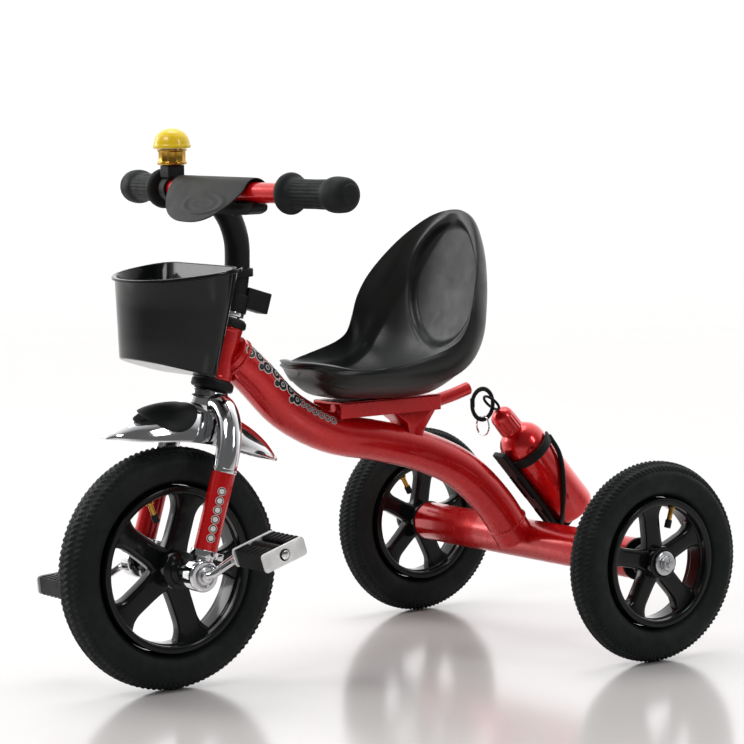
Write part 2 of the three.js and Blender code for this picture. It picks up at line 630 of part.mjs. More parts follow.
function basket() {
  const outer = solid(basketLoft(0, 0, 1, 3));
  const inner = solid(basketLoft(2.6, 0.025, 1.2, 3));
  const lip = solid(basketLoft(-4, 0.965, 0.999, 1));
  piece(trike, 'basket', outer.add(lip).subtract(inner), BLACK_GLOSS);
  const stemBore = turnedZ(rod(17, -20, 20), 18).translate(0, -452.3, 506);
  const strap = union(
    turnedZ(rod(20.5, -5, 5), 20).translate(0, -452.3, 506),
    box(26, 28, 10, 0, -484, 506),
    box(40, 3, 26, 0, 0, 0).rotateX(-0.19).translate(0, -498.9, 499));
  piece(trike, 'basket_strap', cut(strap, stemBore), BLACK_MATT);
}

// ---------------------------------------------------------------- seat
// half width, y and z of the rim, then y and z of the middle line, from front lip to top edge
const seatRows = rows([
  [10, -378, 376, -378, 376], [40, -362, 387, -371, 387], [66, -337, 384, -346, 385],
  [90, -314, 382, -326, 374], [103, -286, 386, -300, 362], [109, -256, 392, -270, 353],
  [113, -226, 400, -238, 349], [119, -205, 411, -205, 352], [125, -193, 430, -173, 366],
  [125, -185, 455, -150, 394], [117, -174, 481, -138, 432], [102, -158, 508, -129, 473],
  [80, -141, 534, -122, 512], [54, -127, 554, -117, 543], [30, -119, 565, -114, 562],
  [8, -115, 570, -113, 570],
]);

function seatSurface(u, v) {
  const [half, rimY, rimZ, midY, midZ] = seatRows(u);
  const blend = Math.abs(v) ** 2.4;
  const x = half * Math.sin((v * Math.PI) / 2);
  return new THREE.Vector3(x, midY + (rimY - midY) * blend, midZ + (rimZ - midZ) * blend);
}

function seat() {
  const shell = panel((u, v, w) => {
    const edge = SEAT_ROLL * Math.max(Math.abs(v), Math.abs(2 * u - 1) ** 3);
    return offset(seatSurface, u, v, edge - (1 - w) * SEAT_WALL);
  }, 10, 18);
  const rest = box(64, 160, 40, 0, -243, CHANNEL_TOP + GAP - 20);
  piece(trike, 'seat', cut(solid(shell), rest), BLACK_MATT);
}

// ---------------------------------------------------------------- seat support
function seatSupport() {
  const rail = along(smooth([[0, -318, 324], [0, -240, 324], [0, -150, 324], [0, -124, 329],
    [0, -98, 336]]), 8.6, 6, 12);
  const side = new THREE.Shape();
  side.moveTo(-232, 317).lineTo(-160, 323).lineTo(-184, 290).lineTo(-188, 262);
  side.lineTo(-206, 262).lineTo(-210, 301).closePath();
  const wedge = new THREE.ExtrudeGeometry(side, { depth: 40, bevelEnabled: false });
  wedge.applyMatrix4(SHAPE_TO_YZ);
  wedge.translate(-20, 0, 0);
  const tubeSpace = along(tubePath, FRAME_R + GAP, 20, 16);
  const post = cut(union(wedge, rail), tubeSpace).decompose();
  post.sort((a, b) => volumeOf(b) - volumeOf(a));
  piece(trike, 'seat_post', post[0], RED);
  const flanges = [1, -1].map((k) => box(3, 156, 20, k * 29.5, -243, CHANNEL_TOP - 10));
  const channel = union(box(62, 156, 3, 0, -243, CHANNEL_TOP - 1.5), ...flanges);
  piece(trike, 'seat_channel', channel, RED);
}

// ---------------------------------------------------------------- bottle and cage
const bottle = new THREE.Group();          // its Z runs up the bottle
bottle.position.set(0, 35, 206);
bottle.rotation.x = BOTTLE_TILT;
trike.add(bottle);

function bottlePieces() {
  const R = BOTTLE_R;
  const low = BOTTLE_LOW;
  const top = BOTTLE_SHOULDER;
  const body = [
    [0, low], [R - 6, low], [R - 1.6, low + 2.5], [R, low + 8], [R, top], [R - 2.4, top + 10],
    [R - 9, top + 19], [R - 17, top + 24], [12.5, top + 27], [12.5, top + 34], [0, top + 34],
  ];
  piece(bottle, 'bottle', turnedZ(body, 20), RED);
  const capLow = top + 27 + GAP;
  const cap = [
    [12.5 + GAP, capLow], [16, capLow], [16.4, capLow + 3], [15.6, capLow + 26],
    [12, capLow + 33], [5, capLow + 36], [0, capLow + 36], [0, top + 34 + GAP],
    [12.5 + GAP, top + 34 + GAP], [12.5 + GAP, capLow],
  ];
  piece(bottle, 'bottle_cap', turnedZ(cap, 18), RED);
  // a closed plastic loop stands beside the cap and holds the clip
  const loop = new THREE.TorusGeometry(12, 1.8, 6, 16).rotateX(Math.PI / 2)
    .translate(0, 0, top + 27 + 36 + 14 + GAP);
  piece(bottle, 'cap_loop', loop, BLACK_MATT);
}

// An oval snap clip hangs through the cap's loop, with a split ring through its lower end.
function clip() {
  const oval = new THREE.TorusGeometry(17, 2.6, 6, 18).rotateY(Math.PI / 2).scale(1, 1, 1.18);
  piece(trike, 'clip', oval.translate(0, CLIP_Y, CLIP_Z), BLACK_MATT);
  const splitRing = new THREE.TorusGeometry(13, 1.5, 5, 16).rotateX(Math.PI / 2);
  piece(trike, 'split_ring', splitRing.translate(0, CLIP_Y, CLIP_Z - 28), STEEL);
}

function cage() {
  const R = BOTTLE_R;
  const gap = 0.8;
  const near = R + gap;
  const thick = 4;
  const bandLow = 52;
  const band = solid(turnedZ(ring(near, near + thick, bandLow, bandLow + 13), 18))
    .subtract(solid(box(30, 20, 40, 0, R + 8, bandLow + 6)));
  const plate = box(24, 7, 150, 0, -(near + 4.5), 9);
  const foot = box(24, 40, 4, 0, -(near + 8) + 20, BOTTLE_LOW - 3.2);
  const arms = [1, -1].map((side) => along(new THREE.CatmullRomCurve3([
    new THREE.Vector3(side * 6, -(near + 3), -62), new THREE.Vector3(side * 25, -(near - 6), -34),
    new THREE.Vector3(side * (near + 3.2), -4, 2), new THREE.Vector3(side * 30, 20, 34),
    new THREE.Vector3(side * 24, 26, 58),
  ]), 3.4, 7, 7));
  const body = [plate, foot, ...arms].map(solid).reduce((a, b) => a.add(b), band);
  const space = solid(turnedZ(rod(near, BOTTLE_LOW - 1, 120), 18));
  const parts = body.subtract(space).decompose().sort((a, b) => volumeOf(b) - volumeOf(a));
  piece(bottle, 'bottle_cage', parts[0], BLACK_MATT);
}

// ---------------------------------------------------------------- assembly
rearWheel(1, 'left_rear', REAR.phase, 73);
rearWheel(-1, 'right_rear', FAR_PHASE, 118);
axleNut(1, 'left');
axleNut(-1, 'right');
frame();
axlePlug(1, 'left');
axlePlug(-1, 'right');
rearAxle();
headset();
fork();
fender();
frontWheel();
stem();
clampBlock();
handlebar();
barCover();
barClamp();
bell();
basket();
seat();
seatSupport();
bottlePieces();
clip();
cage();

export default tricycle;
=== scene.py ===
"""The looks of a children's tricycle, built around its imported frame.

Shapes are worked out in millimetres with the rear axle line at y = 0 and the ground at
z = 0, the rider facing -Y, and are turned into the frame's metres when a mesh is made.
"""

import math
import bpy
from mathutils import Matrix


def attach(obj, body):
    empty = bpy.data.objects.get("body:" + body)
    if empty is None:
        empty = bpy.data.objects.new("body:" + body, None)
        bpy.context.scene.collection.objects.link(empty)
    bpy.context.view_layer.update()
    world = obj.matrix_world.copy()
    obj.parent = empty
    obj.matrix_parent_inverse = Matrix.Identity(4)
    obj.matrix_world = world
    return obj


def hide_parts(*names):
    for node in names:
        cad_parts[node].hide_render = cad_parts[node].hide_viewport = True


bl_info = {
    "name": "Children's tricycle",
    "version": (1, 0, 0),
    "blender": (4, 5, 0),
    "location": "View3D > Sidebar > Tricycle",
    "description": "Builds the visible pieces of a children's tricycle around its frame",
    "category": "Object",
}

import bpy
import numpy as np
from bpy.props import FloatProperty, FloatVectorProperty, IntProperty, PointerProperty
from mathutils import Matrix

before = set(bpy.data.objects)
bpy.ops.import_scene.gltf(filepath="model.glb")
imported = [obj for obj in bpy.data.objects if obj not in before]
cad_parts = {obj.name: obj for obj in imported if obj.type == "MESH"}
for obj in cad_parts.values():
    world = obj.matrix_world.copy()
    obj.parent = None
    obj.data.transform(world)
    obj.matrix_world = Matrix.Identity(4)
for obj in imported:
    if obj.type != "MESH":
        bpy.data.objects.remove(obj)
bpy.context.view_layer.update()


# ---- driving sizes, in mm
REAR_TO_MIDDLE = 291.75
HUB_Y, HUB_Z = -561.0, 150.0
HEAD_TILT = -17.5
FRONT = {"radius": 150.0, "width": 51.0, "bead": 103.0, "opening": 94.0, "spoke": 15.0}
REAR = {"radius": 127.5, "width": 43.0, "bead": 82.0, "opening": 73.0, "spoke": 12.0}
TRACK_HALF = 251.0
FRAME_R = 26.0
AXLE_TUBE_HALF, AXLE_HALF, AXLE_R = 222.0, 286.8, 5.0
HEAD_LOW, HEAD_HIGH = 238.0, 304.0
LEG_X, LEG_R = 70.0, 14.9
CRANK, CRANK_ANGLE, ROD_R = 66.0, math.radians(27), 5.5
CRANK_END, CRANK_ELBOW, CRANK_BEND, CRANK_NUT_X = 170.6, 94.5, 91.0, 88.2
PEDAL_X, PEDAL_LENGTH = 135.0, 66.0
BAR_R, BAR_Z, BAR_HALF, BAR_BEND = 12.5, 607.0, 236.0, 110.0
BAR_SWEEP = math.radians(8)
BAR_END_Y = -469.5
GRIP_START = 134.0
STEM_R, QUILL_R = 15.5, 11.2
CLAMP_Y = -476.5
STRAP_Y, STRAP_Z = -452.3, 506.0
GRIP_LENGTH = (BAR_HALF - GRIP_START) / math.cos(BAR_SWEEP)
BELL_X = -118.0
BOTTLE_R = 32.0
BOTTLE_TILT = math.degrees(math.atan2(0.66, 0.75))
CHANNEL_TOP, CHANNEL_Y, RAIL_R = 336.0, -243.0, 8.6
CLIP_Y, CLIP_Z, CLIP_R, CLIP_THICK, CLIP_STRETCH = -74.5, 313.0, 17.0, 2.6, 1.18
LOOP_R, LOOP_THICK, LOOP_HEIGHT = 12.0, 1.8, 143.3
RING_R, RING_THICK, RING_DROP = 13.0, 0.75, 28.0
SLEEVE_R = 14.4
TURN = 2 * math.pi
SIDES = (("left", 1), ("right", -1))


# ---- placing
def shift(x, y, z):
    """A move as a 4 by 4 matrix."""
    made = np.eye(4)
    made[:3, 3] = (x, y, z)
    return made


def spin(axis, degrees):
    """A turn about a main axis as a 4 by 4 matrix."""
    return np.array(Matrix.Rotation(math.radians(degrees), 4, axis))


def moved(points, matrix):
    """The points times the matrix's turn, plus its move."""
    return points @ matrix[:3, :3].T + matrix[:3, 3]


ABOUT_X = spin("Y", 90)
OUTWARD = {1: ABOUT_X, -1: spin("Y", -90)}
HUB = shift(0, HUB_Y, HUB_Z)
HEAD = HUB @ spin("X", HEAD_TILT)
REAR_MIDDLE = shift(0, 0, REAR["radius"])
BOTTLE = shift(0, 35, 206) @ spin("X", BOTTLE_TILT)


# ---- curves and profiles
def unit(vectors):
    """Each vector divided by its own length."""
    return vectors / np.linalg.norm(vectors, axis=-1, keepdims=True)


def circle(count):
    """Angles evenly spaced round one turn."""
    return np.linspace(0, TURN, count, endpoint=False)


def powered(value, power):
    """The size of a value raised to a power, its sign kept."""
    return np.sign(value) * np.abs(value) ** power


def lengths(points):
    """How far along a line of points each of them lies."""
    return np.concatenate([[0], np.cumsum(np.linalg.norm(np.diff(points, axis=0), axis=1))])


def sampled(at, knots, points):
    """The values of a line at the given distances along it, straight between its points."""
    return np.stack([np.interp(at, knots, column) for column in np.asarray(points).T], -1)


def polar(reach, angle, height):
    """Points at a reach and an angle round local Z, and a height along it."""
    x = reach * np.cos(angle)
    return np.stack([x, reach * np.sin(angle), height + 0 * x], -1)


def between(pair, t):
    """The value at t, from 0 to 1, on the way from the first of a pair to the second."""
    return pair[0] + (pair[1] - pair[0]) * t


def closed(loop):
    """A loop with its first point repeated at its end."""
    return np.concatenate([loop, loop[:1]])


def mirrored(half):
    """The lower half of a profile followed by its upper half, the same turned over."""
    return list(half) + [(radius, -height) for radius, height in reversed(half)]


def spline(points, count):
    """Cubic Hermite curve through the points, evenly spaced by chord length."""
    p = np.asarray(points, float)
    knots = lengths(p)
    slopes = np.gradient(p, knots, axis=0)
    t = np.linspace(0, knots[-1], count)
    i = np.clip(np.searchsorted(knots, t, side="right") - 1, 0, len(knots) - 2)
    h = (knots[i + 1] - knots[i])[:, None]
    s = (t - knots[i])[:, None] / h
    return (
        (2 * s**3 - 3 * s**2 + 1) * p[i]
        + (s**3 - 2 * s**2 + s) * h * slopes[i]
        + (3 * s**2 - 2 * s**3) * p[i + 1]
        + (s**3 - s**2) * h * slopes[i + 1]
    )


def eased(table, t):
    """Catmull-Rom values at t from 0 to 1 between evenly spaced rows of a table."""
    rows = np.asarray(table, float)
    at = np.clip(t, 0, 1) * (len(rows) - 1)
    i = np.minimum(at.astype(int), len(rows) - 2)
    f = (at - i)[..., None]
    a, b = rows[np.maximum(i - 1, 0)], rows[i]
    d, e = rows[i + 1], rows[np.minimum(i + 2, len(rows) - 1)]
    return b + 0.5 * f * (d - a + f * (2 * a - 5 * b + 4 * d - e + f * (3 * (b - d) + e - a)))


def softened(profile, radius, steps=4):
    """The profile with each inner corner swapped for a quadratic curve of that reach."""
    p = np.asarray(profile, float)
    here, ends = p[1:-1], []
    for way in (p[:-2] - here, p[2:] - here):
        longest = 0.45 * np.linalg.norm(way, axis=1, keepdims=True)
        ends.append((here + unit(way) * np.minimum(radius, longest))[:, None])
    t = np.linspace(0, 1, steps)[None, :, None]
    bend = (1 - t) ** 2 * ends[0] + 2 * t * (1 - t) * here[:, None] + t**2 * ends[1]
    return np.concatenate([p[:1], bend.reshape(-1, p.shape[1]), p[-1:]])


def softened_loop(profile, radius, steps=4):
    """The same for a closed profile, given without its first point repeated."""
    p = np.asarray(profile, float)
    around = np.concatenate([p[-1:], p, p[:1]])
    return softened(around, radius, steps)[1:-1]


def stadium(count, half_width, half_height, power):
    """Superellipse outline: each of cosine and sine raised to a power, times its half size."""
    a = circle(count)
    return np.stack(
        [half_width * powered(np.cos(a), power), half_height * powered(np.sin(a), power)], -1
    )


# ---- shells
def shell(points, wrap_rows=False, wrap_columns=True):
    """A grid of points joined into quads, its seams and poles welded and its faces outward.

    The signed volume is the sum over faces of the corner products, and a negative one
    turns every face round.
    """
    n, m = points.shape[:2]
    i, j = np.meshgrid(
        np.arange(n if wrap_rows else n - 1),
        np.arange(m if wrap_columns else m - 1),
        indexing="ij",
    )
    down, right = (i + 1) % n, (j + 1) % m
    quads = np.stack([i * m + j, down * m + j, down * m + right, i * m + right], -1)
    flat = points.reshape(-1, 3)
    _, first, back = np.unique(
        np.round(flat, 3), axis=0, return_index=True, return_inverse=True
    )
    verts, quads = flat[first], back.reshape(-1)[quads.reshape(-1, 4)]
    a, b, c, d = (verts[quads[:, k]] for k in range(4))
    volume = (np.cross(a, b) * c).sum() + (np.cross(a, c) * d).sum()
    return verts, quads[:, ::-1] if volume < 0 else quads


def turned(profile, matrix, sides=64):
    """A profile of radius and height turned about local Z; closed if it ends where it starts."""
    radius, height = np.asarray(profile, float).T[:, :, None]
    return shell(moved(polar(radius, circle(sides), height), matrix))


def washer(inner, outer, low, high, matrix, edge=0.6, sides=64):
    """A flat ring with softened edges turned about local Z."""
    loop = softened_loop([(inner, low), (outer, low), (outer, high), (inner, high)], edge)
    return turned(closed(loop), matrix, sides)


def rod(radius, low, high, matrix, edge=0.8, sides=48):
    """A round bar with softened ends along local Z."""
    profile = softened([(0, low), (radius, low), (radius, high), (0, high)], edge)
    return turned(profile, matrix, sides)


def capped(rings, first, last):
    """The grid of rings with a pole before the first of them and one after the last."""
    poles = [np.broadcast_to(pole, (1,) + rings.shape[1:]) for pole in (first, last)]
    return np.concatenate([poles[0], rings, poles[1]])


def swept(path, section, sideways=(1, 0, 0), matrix=shift(0, 0, 0)):
    """A closed section carried along a path, its first axis held near the sideways direction.

    Each ring is the path point plus section x times the side and section y times the
    cross product of the tangent and the side. The ends are closed on the path.
    """
    path, section, sideways = (np.asarray(v, float) for v in (path, section, sideways))
    tangent = unit(np.gradient(path, axis=0))
    side = unit(sideways - (tangent @ sideways)[:, None] * tangent)
    other = np.cross(tangent, side)
    rings = path[:, None] + section[..., :1] * side[:, None] + section[..., 1:] * other[:, None]
    points, faces = shell(capped(rings, path[0], path[-1]))
    return moved(points, matrix), faces


def pipe(path, radius, sides=40, sideways=(1, 0, 0), matrix=shift(0, 0, 0), edge=0.9):
    """A round tube of one radius along a path, with softened ends."""
    path = np.asarray(path, float)
    ends = []
    for end, beside in ((path[0], path[1]), (path[-1], path[-2])):
        ends.append([end + unit(beside - end) * edge * q for q in (0, 0.3, 0.7)])
    lead = radius - edge * np.array([1, 0.4, 0.05])
    scale = np.concatenate([lead, np.full(len(path) - 2, radius), lead[::-1]])
    path = np.concatenate([ends[0], path[1:-1], ends[1][::-1]])
    return swept(path, scale[:, None, None] * stadium(sides, 1, 1, 1), sideways, matrix)


def slab(outline, low, high, matrix, edge=1.0):
    """An outline in local XY given thickness along Z, its edges softened by shrinking it.

    Each ring is the outline pulled towards its middle by the edge times a quarter circle.
    """
    p = np.asarray(outline, float)
    middle = p.mean(0)
    out = p - middle
    reach = np.linalg.norm(out, axis=1, keepdims=True)
    quarter = np.linspace(0, math.pi / 2, 4)
    fall, rise = edge * (1 - np.sin(quarter)), edge * (1 - np.cos(quarter))
    pull = np.concatenate([fall, rise])[:, None, None]
    height = np.concatenate([low + rise, high - fall])[:, None, None]
    flat = middle + out * (1 - pull / reach)
    rings = np.concatenate([flat, height + 0 * flat[..., :1]], -1)
    return shell(moved(capped(rings, (*middle, low), (*middle, high)), matrix))


def brick(width, depth, height, matrix, edge=1.0, corner=2.0):
    """A block centred on its matrix, with rounded corners and softened edges."""
    x, y = width / 2, depth / 2
    sides = closed(softened_loop([(-x, -y), (x, -y), (x, y), (-x, y)], corner, 6))
    knots = lengths(sides)
    t = np.unique(np.concatenate([knots, np.linspace(0, knots[-1], 40)]))[:-1]
    return slab(sampled(t, knots, sides), -height / 2, height / 2, matrix, edge)


def ribbed(profile, matrix, ribs, depth, low, high, sides=144):
    """A turned profile whose radius is cut by a cosine round it, between two heights."""
    p = np.asarray(profile, float)
    a = circle(sides)
    zone = np.clip((p[:, 1:] - low) / 2, 0, 1) * np.clip((high - p[:, 1:]) / 2, 0, 1)
    reach = p[:, :1] * (1 - depth * zone * (0.5 + 0.5 * np.cos(ribs * a))[None])
    return shell(moved(polar(reach, a, p[:, 1:]), matrix))


def hexagon(across, low, high, matrix):
    """A six-sided nut or bolt head along local Z."""
    corner = polar(across / math.sqrt(3), np.linspace(0, TURN, 7), 0)[:, :2]
    outline = sampled(np.linspace(0, 6, 48, endpoint=False), np.arange(7), corner)
    return slab(outline, low, high, matrix, 0.7)


def doughnut(radius, thick, matrix, around=56, sides=18):
    """A round bar bent into a ring in local XY."""
    a, b = circle(around)[:, None], circle(sides)[None]
    points = polar(radius + thick * np.cos(b), a, thick * np.sin(b))
    return shell(moved(points, matrix), wrap_rows=True)


def normal_of(surface, u, v, small):
    """A surface's normal: the cross product of its slopes along its two parameters."""
    first = surface(u + small, v) - surface(u - small, v)
    second = surface(u, v + small) - surface(u, v - small)
    return unit(np.cross(first, second))


def thickened(place, normal, side, faces):
    """A surface's points moved along its normal: side runs from -1 to 1 between two faces."""
    lower, upper = faces
    lift = (lower + upper) / 2 + side * (upper - lower) / 2
    return place + normal * lift[..., None]


def skin(surface, thickness, rows, columns, power=0.35, ends=10):
    """A curved sheet with thickness and rolled edges, closed all round.

    surface(u, v) gives points, u from 0 to 1 and v from -1 to 1. An angle runs round each
    row: v is its cosine, and its sine raised to a power lifts the upper face off the
    lower one along the normal. thickness(u, v) gives the two faces' distances from the
    surface, and both close together where u ends.
    """
    u = (1 - np.cos(np.linspace(0, math.pi, rows))) / 2
    u, a = np.meshgrid(u, circle(columns), indexing="ij")
    v = powered(np.cos(a), 0.85)
    close = (1 - np.abs(2 * u - 1) ** ends) ** (1 / ends)
    normal = -normal_of(surface, np.clip(u, 0.012, 0.988), np.clip(v, -0.93, 0.93), 1e-3)
    side = powered(np.sin(a), power) * close
    return shell(thickened(surface(u, v), normal, side, thickness(u, v)))


def cushion(surface, faces, around, across, power=0.42):
    """A closed disc-shaped sheet: surface(reach, turn) gives points out from a middle.

    An angle runs over the top from the middle to the rim and back underneath: the reach
    is its sine, and its cosine raised to a power parts the two faces along the normal,
    which is the cross product of the surface's slopes outward and around.
    """
    a, turn = np.meshgrid(np.linspace(0, math.pi, across), circle(around))
    reach = np.sin(a) ** 0.85
    place, side = surface(reach, turn), powered(np.cos(a), power)
    normal = normal_of(surface, np.clip(reach, 0.03, 0.96), turn, 0.004)
    points = thickened(place, normal, side, faces(reach, place))
    return shell(points, wrap_rows=True, wrap_columns=False)


# the CAD colour that each finish answers to
SLOTS = {
    "enamel": "red_paint", "chrome": "chrome", "seat_plastic": "black_plastic",
    "satin_black": "black_plastic", "gloss_black": "black_gloss", "cover_grey": "black_plastic",
    "tyre": "tyre", "grip": "grip", "dome": "yellow_plastic", "brass": "brass",
    "zinc": "steel", "plate": "steel", "lacquer": "bottle_red",
}


def make(name, body, look, shells, replaces="", slot=None, crease=32):
    """Joins closed shells into one smooth-shaded object that rides on a body.

    It stands in for the nodes named in replaces. A slot, the finish's own unless another is given
    and none if that is empty, is worked out but then not used.
    """
    start, verts, quads = 0, [], []
    for points, faces in shells:
        verts.append(points)
        quads.append(faces + start)
        start += len(points)
    verts, quads = np.concatenate(verts), np.concatenate(quads)
    twin = quads == np.roll(quads, -1, axis=1)
    whole = quads[twin.sum(1) == 0]
    poles = twin.sum(1) == 1
    thirds = quads[poles][~twin[poles]].reshape(-1, 3)
    mesh = bpy.data.meshes.new(name)
    metres = (verts + (0, REAR_TO_MIDDLE, 0)) / 1000
    mesh.from_pydata(metres.tolist(), [], whole.tolist() + thirds.tolist())
    mesh.polygons.foreach_set("use_smooth", np.ones(len(mesh.polygons), bool))
    mesh.set_sharp_from_angle(angle=math.radians(crease))
    mesh.materials.append(finish(look))
    made = bpy.data.objects.new(name, mesh)
    bpy.context.scene.collection.objects.link(made)
    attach(made, body)
    if replaces:
        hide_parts(*replaces.split())
    slot = SLOTS.get(look) if slot is None else slot


# ---- finishes
def tints():
    """The scene's colour settings."""
    return bpy.context.scene.trike_colours


def sizes():
    """The scene's size settings."""
    return bpy.context.scene.trike_sizes


class Nodes:
    """A new material's node tree with short ways to add and join nodes."""

    def __init__(self, name):
        self.material = bpy.data.materials.new(name)
        self.material.use_nodes = True
        self.tree = self.material.node_tree
        self.shader = self.tree.nodes["Principled BSDF"]
        self.place = self.add("ShaderNodeTexCoord").outputs["Object"]

    def add(self, kind, **values):
        """A node whose attributes or input sockets are set by name."""
        node = self.tree.nodes.new(kind)
        for key, value in values.items():
            if key in node.inputs:
                node.inputs[key].default_value = value
            else:
                setattr(node, key, value)
        return node

    def join(self, source, target):
        """A link from an output to an input."""
        self.tree.links.new(source, target)

    def noise(self, scale, detail=3.0, roughness=0.55, stretch=None):
        """Noise on object coordinates, in waves per metre."""
        node = self.add("ShaderNodeTexNoise", Scale=scale, Detail=detail, Roughness=roughness)
        place = self.place
        if stretch:
            mapping = self.add("ShaderNodeMapping", Scale=stretch)
            self.join(place, mapping.inputs["Vector"])
            place = mapping.outputs["Vector"]
        self.join(place, node.inputs["Vector"])
        return node.outputs["Fac"]

    def cells(self, scale, feature="F1"):
        """Voronoi cells on object coordinates: distance and cell colour."""
        node = self.add("ShaderNodeTexVoronoi", Scale=scale, feature=feature)
        self.join(self.place, node.inputs["Vector"])
        return node.outputs["Distance"], node.outputs["Color"]

    def spread(self, value, low, high, start=0.3, end=0.7):
        """A value from start to end carried to the range from low to high."""
        node = self.add("ShaderNodeMapRange")
        for key, number in zip(
            ("From Min", "From Max", "To Min", "To Max"), (start, end, low, high)
        ):
            node.inputs[key].default_value = number
        self.join(value, node.inputs["Value"])
        return node.outputs["Result"]

    def mix(self, amount, first, second):
        """Two colours mixed by a value."""
        node = self.add("ShaderNodeMix", data_type="RGBA")
        self.join(amount, node.inputs["Factor"])
        for socket, colour in zip((node.inputs[6], node.inputs[7]), (first, second)):
            if isinstance(colour, bpy.types.NodeSocket):
                self.join(colour, socket)
            else:
                socket.default_value = (*colour, 1)
        return node.outputs[2]

    def bump(self, height, strength, distance, under=None):
        """Height as a bump of a given depth in metres, over another bump if there is one."""
        node = self.add("ShaderNodeBump", Strength=strength, Distance=distance)
        self.join(height, node.inputs["Height"])
        if under:
            self.join(under, node.inputs["Normal"])
        return node.outputs["Normal"]

    def tone(self, value, colour, low, high):
        """A colour that goes from darker to lighter with a value."""
        return self.mix(self.spread(value, 0, 1), shade(colour, low), shade(colour, high))

    def done(self, colour, roughness, normal=None, **values):
        """Joins the shader's inputs, sets others by name and gives the material back."""
        sockets = self.shader.inputs
        self.join(colour, sockets["Base Color"])
        self.join(roughness, sockets["Roughness"])
        if normal:
            self.join(normal, sockets["Normal"])
        for key, value in values.items():
            sockets[key.replace("_", " ")].default_value = value
        return self.material


def shade(colour, factor):
    """A colour made darker or lighter by a factor."""
    return tuple(min(1.0, c * factor) for c in colour)


def enamel(name):
    """Glossy enamel over metal: slow colour drift, orange peel and faint dust in the gloss."""
    n = Nodes(name)
    return n.done(
        n.tone(n.noise(9, 4), tints().enamel, 0.86, 1.12),
        n.spread(n.noise(60, 6), 0.2, 0.32),
        n.bump(n.noise(420, 2), 0.12, 0.0004),
        Metallic=0.35, Coat_Weight=0.5, Coat_Roughness=0.06, Coat_IOR=1.45,
    )


def chrome(name):
    """Polished plating: fine waviness in the reflections and a little haze."""
    n = Nodes(name)
    return n.done(
        n.mix(n.spread(n.noise(14, 3), 0, 1), (0.72, 0.73, 0.75), (0.86, 0.86, 0.87)),
        n.spread(n.noise(35, 5), 0.03, 0.12),
        n.bump(n.noise(90, 3), 0.1, 0.0006),
        Metallic=1.0,
    )


def moulded(name, colour, low, high, grain, depth, coat=0.0, gloss=0.22):
    """Moulded plastic: a fine pebble grain, drifting tone and uneven polish."""
    n = Nodes(name)
    pebble = n.bump(n.cells(grain)[0], 0.5, depth)
    return n.done(
        n.tone(n.noise(12, 5), colour, 0.8, 1.25),
        n.spread(n.noise(45, 6, 0.65), low, high),
        n.bump(n.noise(55, 2), 0.12, 0.0008, pebble),
        Coat_Weight=coat, Coat_Roughness=0.08, IOR=1.48, Specular_IOR_Level=gloss,
    )


def rubber(name, colour, dust):
    """Rubber: dull, with pale dust that gathers unevenly and a slight skin texture."""
    n = Nodes(name)
    patches = n.spread(n.noise(16, 8, 0.65), 0, dust, 0.45, 0.75)
    return n.done(
        n.mix(patches, colour, (0.022, 0.024, 0.023)),
        n.spread(n.noise(80, 4), 0.52, 0.72),
        n.bump(n.noise(900, 3), 0.35, 0.0003),
        IOR=1.5, Specular_IOR_Level=0.22,
    )


def worked_metal(name, colour, low, high, stretch, metal=1.0):
    """Turned or plated metal: fine lines drawn out along one axis and cloudy patches."""
    n = Nodes(name)
    lines = n.noise(300, 4, 0.6, stretch)
    return n.done(
        n.tone(n.noise(40, 4), colour, 0.78, 1.08),
        n.spread(lines, low, high),
        n.bump(lines, 0.15, 0.0003),
        Metallic=metal,
    )


def lacquer(name):
    """Metallic lacquer: tiny flakes of lighter colour under a clear coat."""
    n = Nodes(name)
    base = tints().lacquer
    split = n.add("ShaderNodeSeparateColor")
    n.join(n.cells(2600)[1], split.inputs["Color"])
    amount = n.spread(split.outputs["Red"], 0, 1, 0.2, 0.95)
    return n.done(
        n.mix(amount, shade(base, 0.75), shade(base, 1.5)),
        n.spread(n.noise(50, 5), 0.24, 0.36),
        n.bump(n.noise(300, 2), 0.08, 0.0004),
        Metallic=0.65, Coat_Weight=1.0, Coat_Roughness=0.04,
    )


def ink(name, colour):
    """Printed film: slightly uneven ink under a thin gloss."""
    n = Nodes(name)
    return n.done(
        n.tone(n.noise(180, 5), colour, 0.85, 1.08),
        n.spread(n.noise(120, 3), 0.25, 0.4),
        Coat_Weight=0.4, Coat_Roughness=0.1,
    )


def floor_finish(name):
    """A pale studio floor with a soft sheen."""
    n = Nodes(name)
    return n.done(
        n.tone(n.noise(1.2, 3), tints().floor, 0.995, 1.0),
        n.spread(n.noise(3, 4), 0.15, 0.16),
        Specular_IOR_Level=0.5,
    )


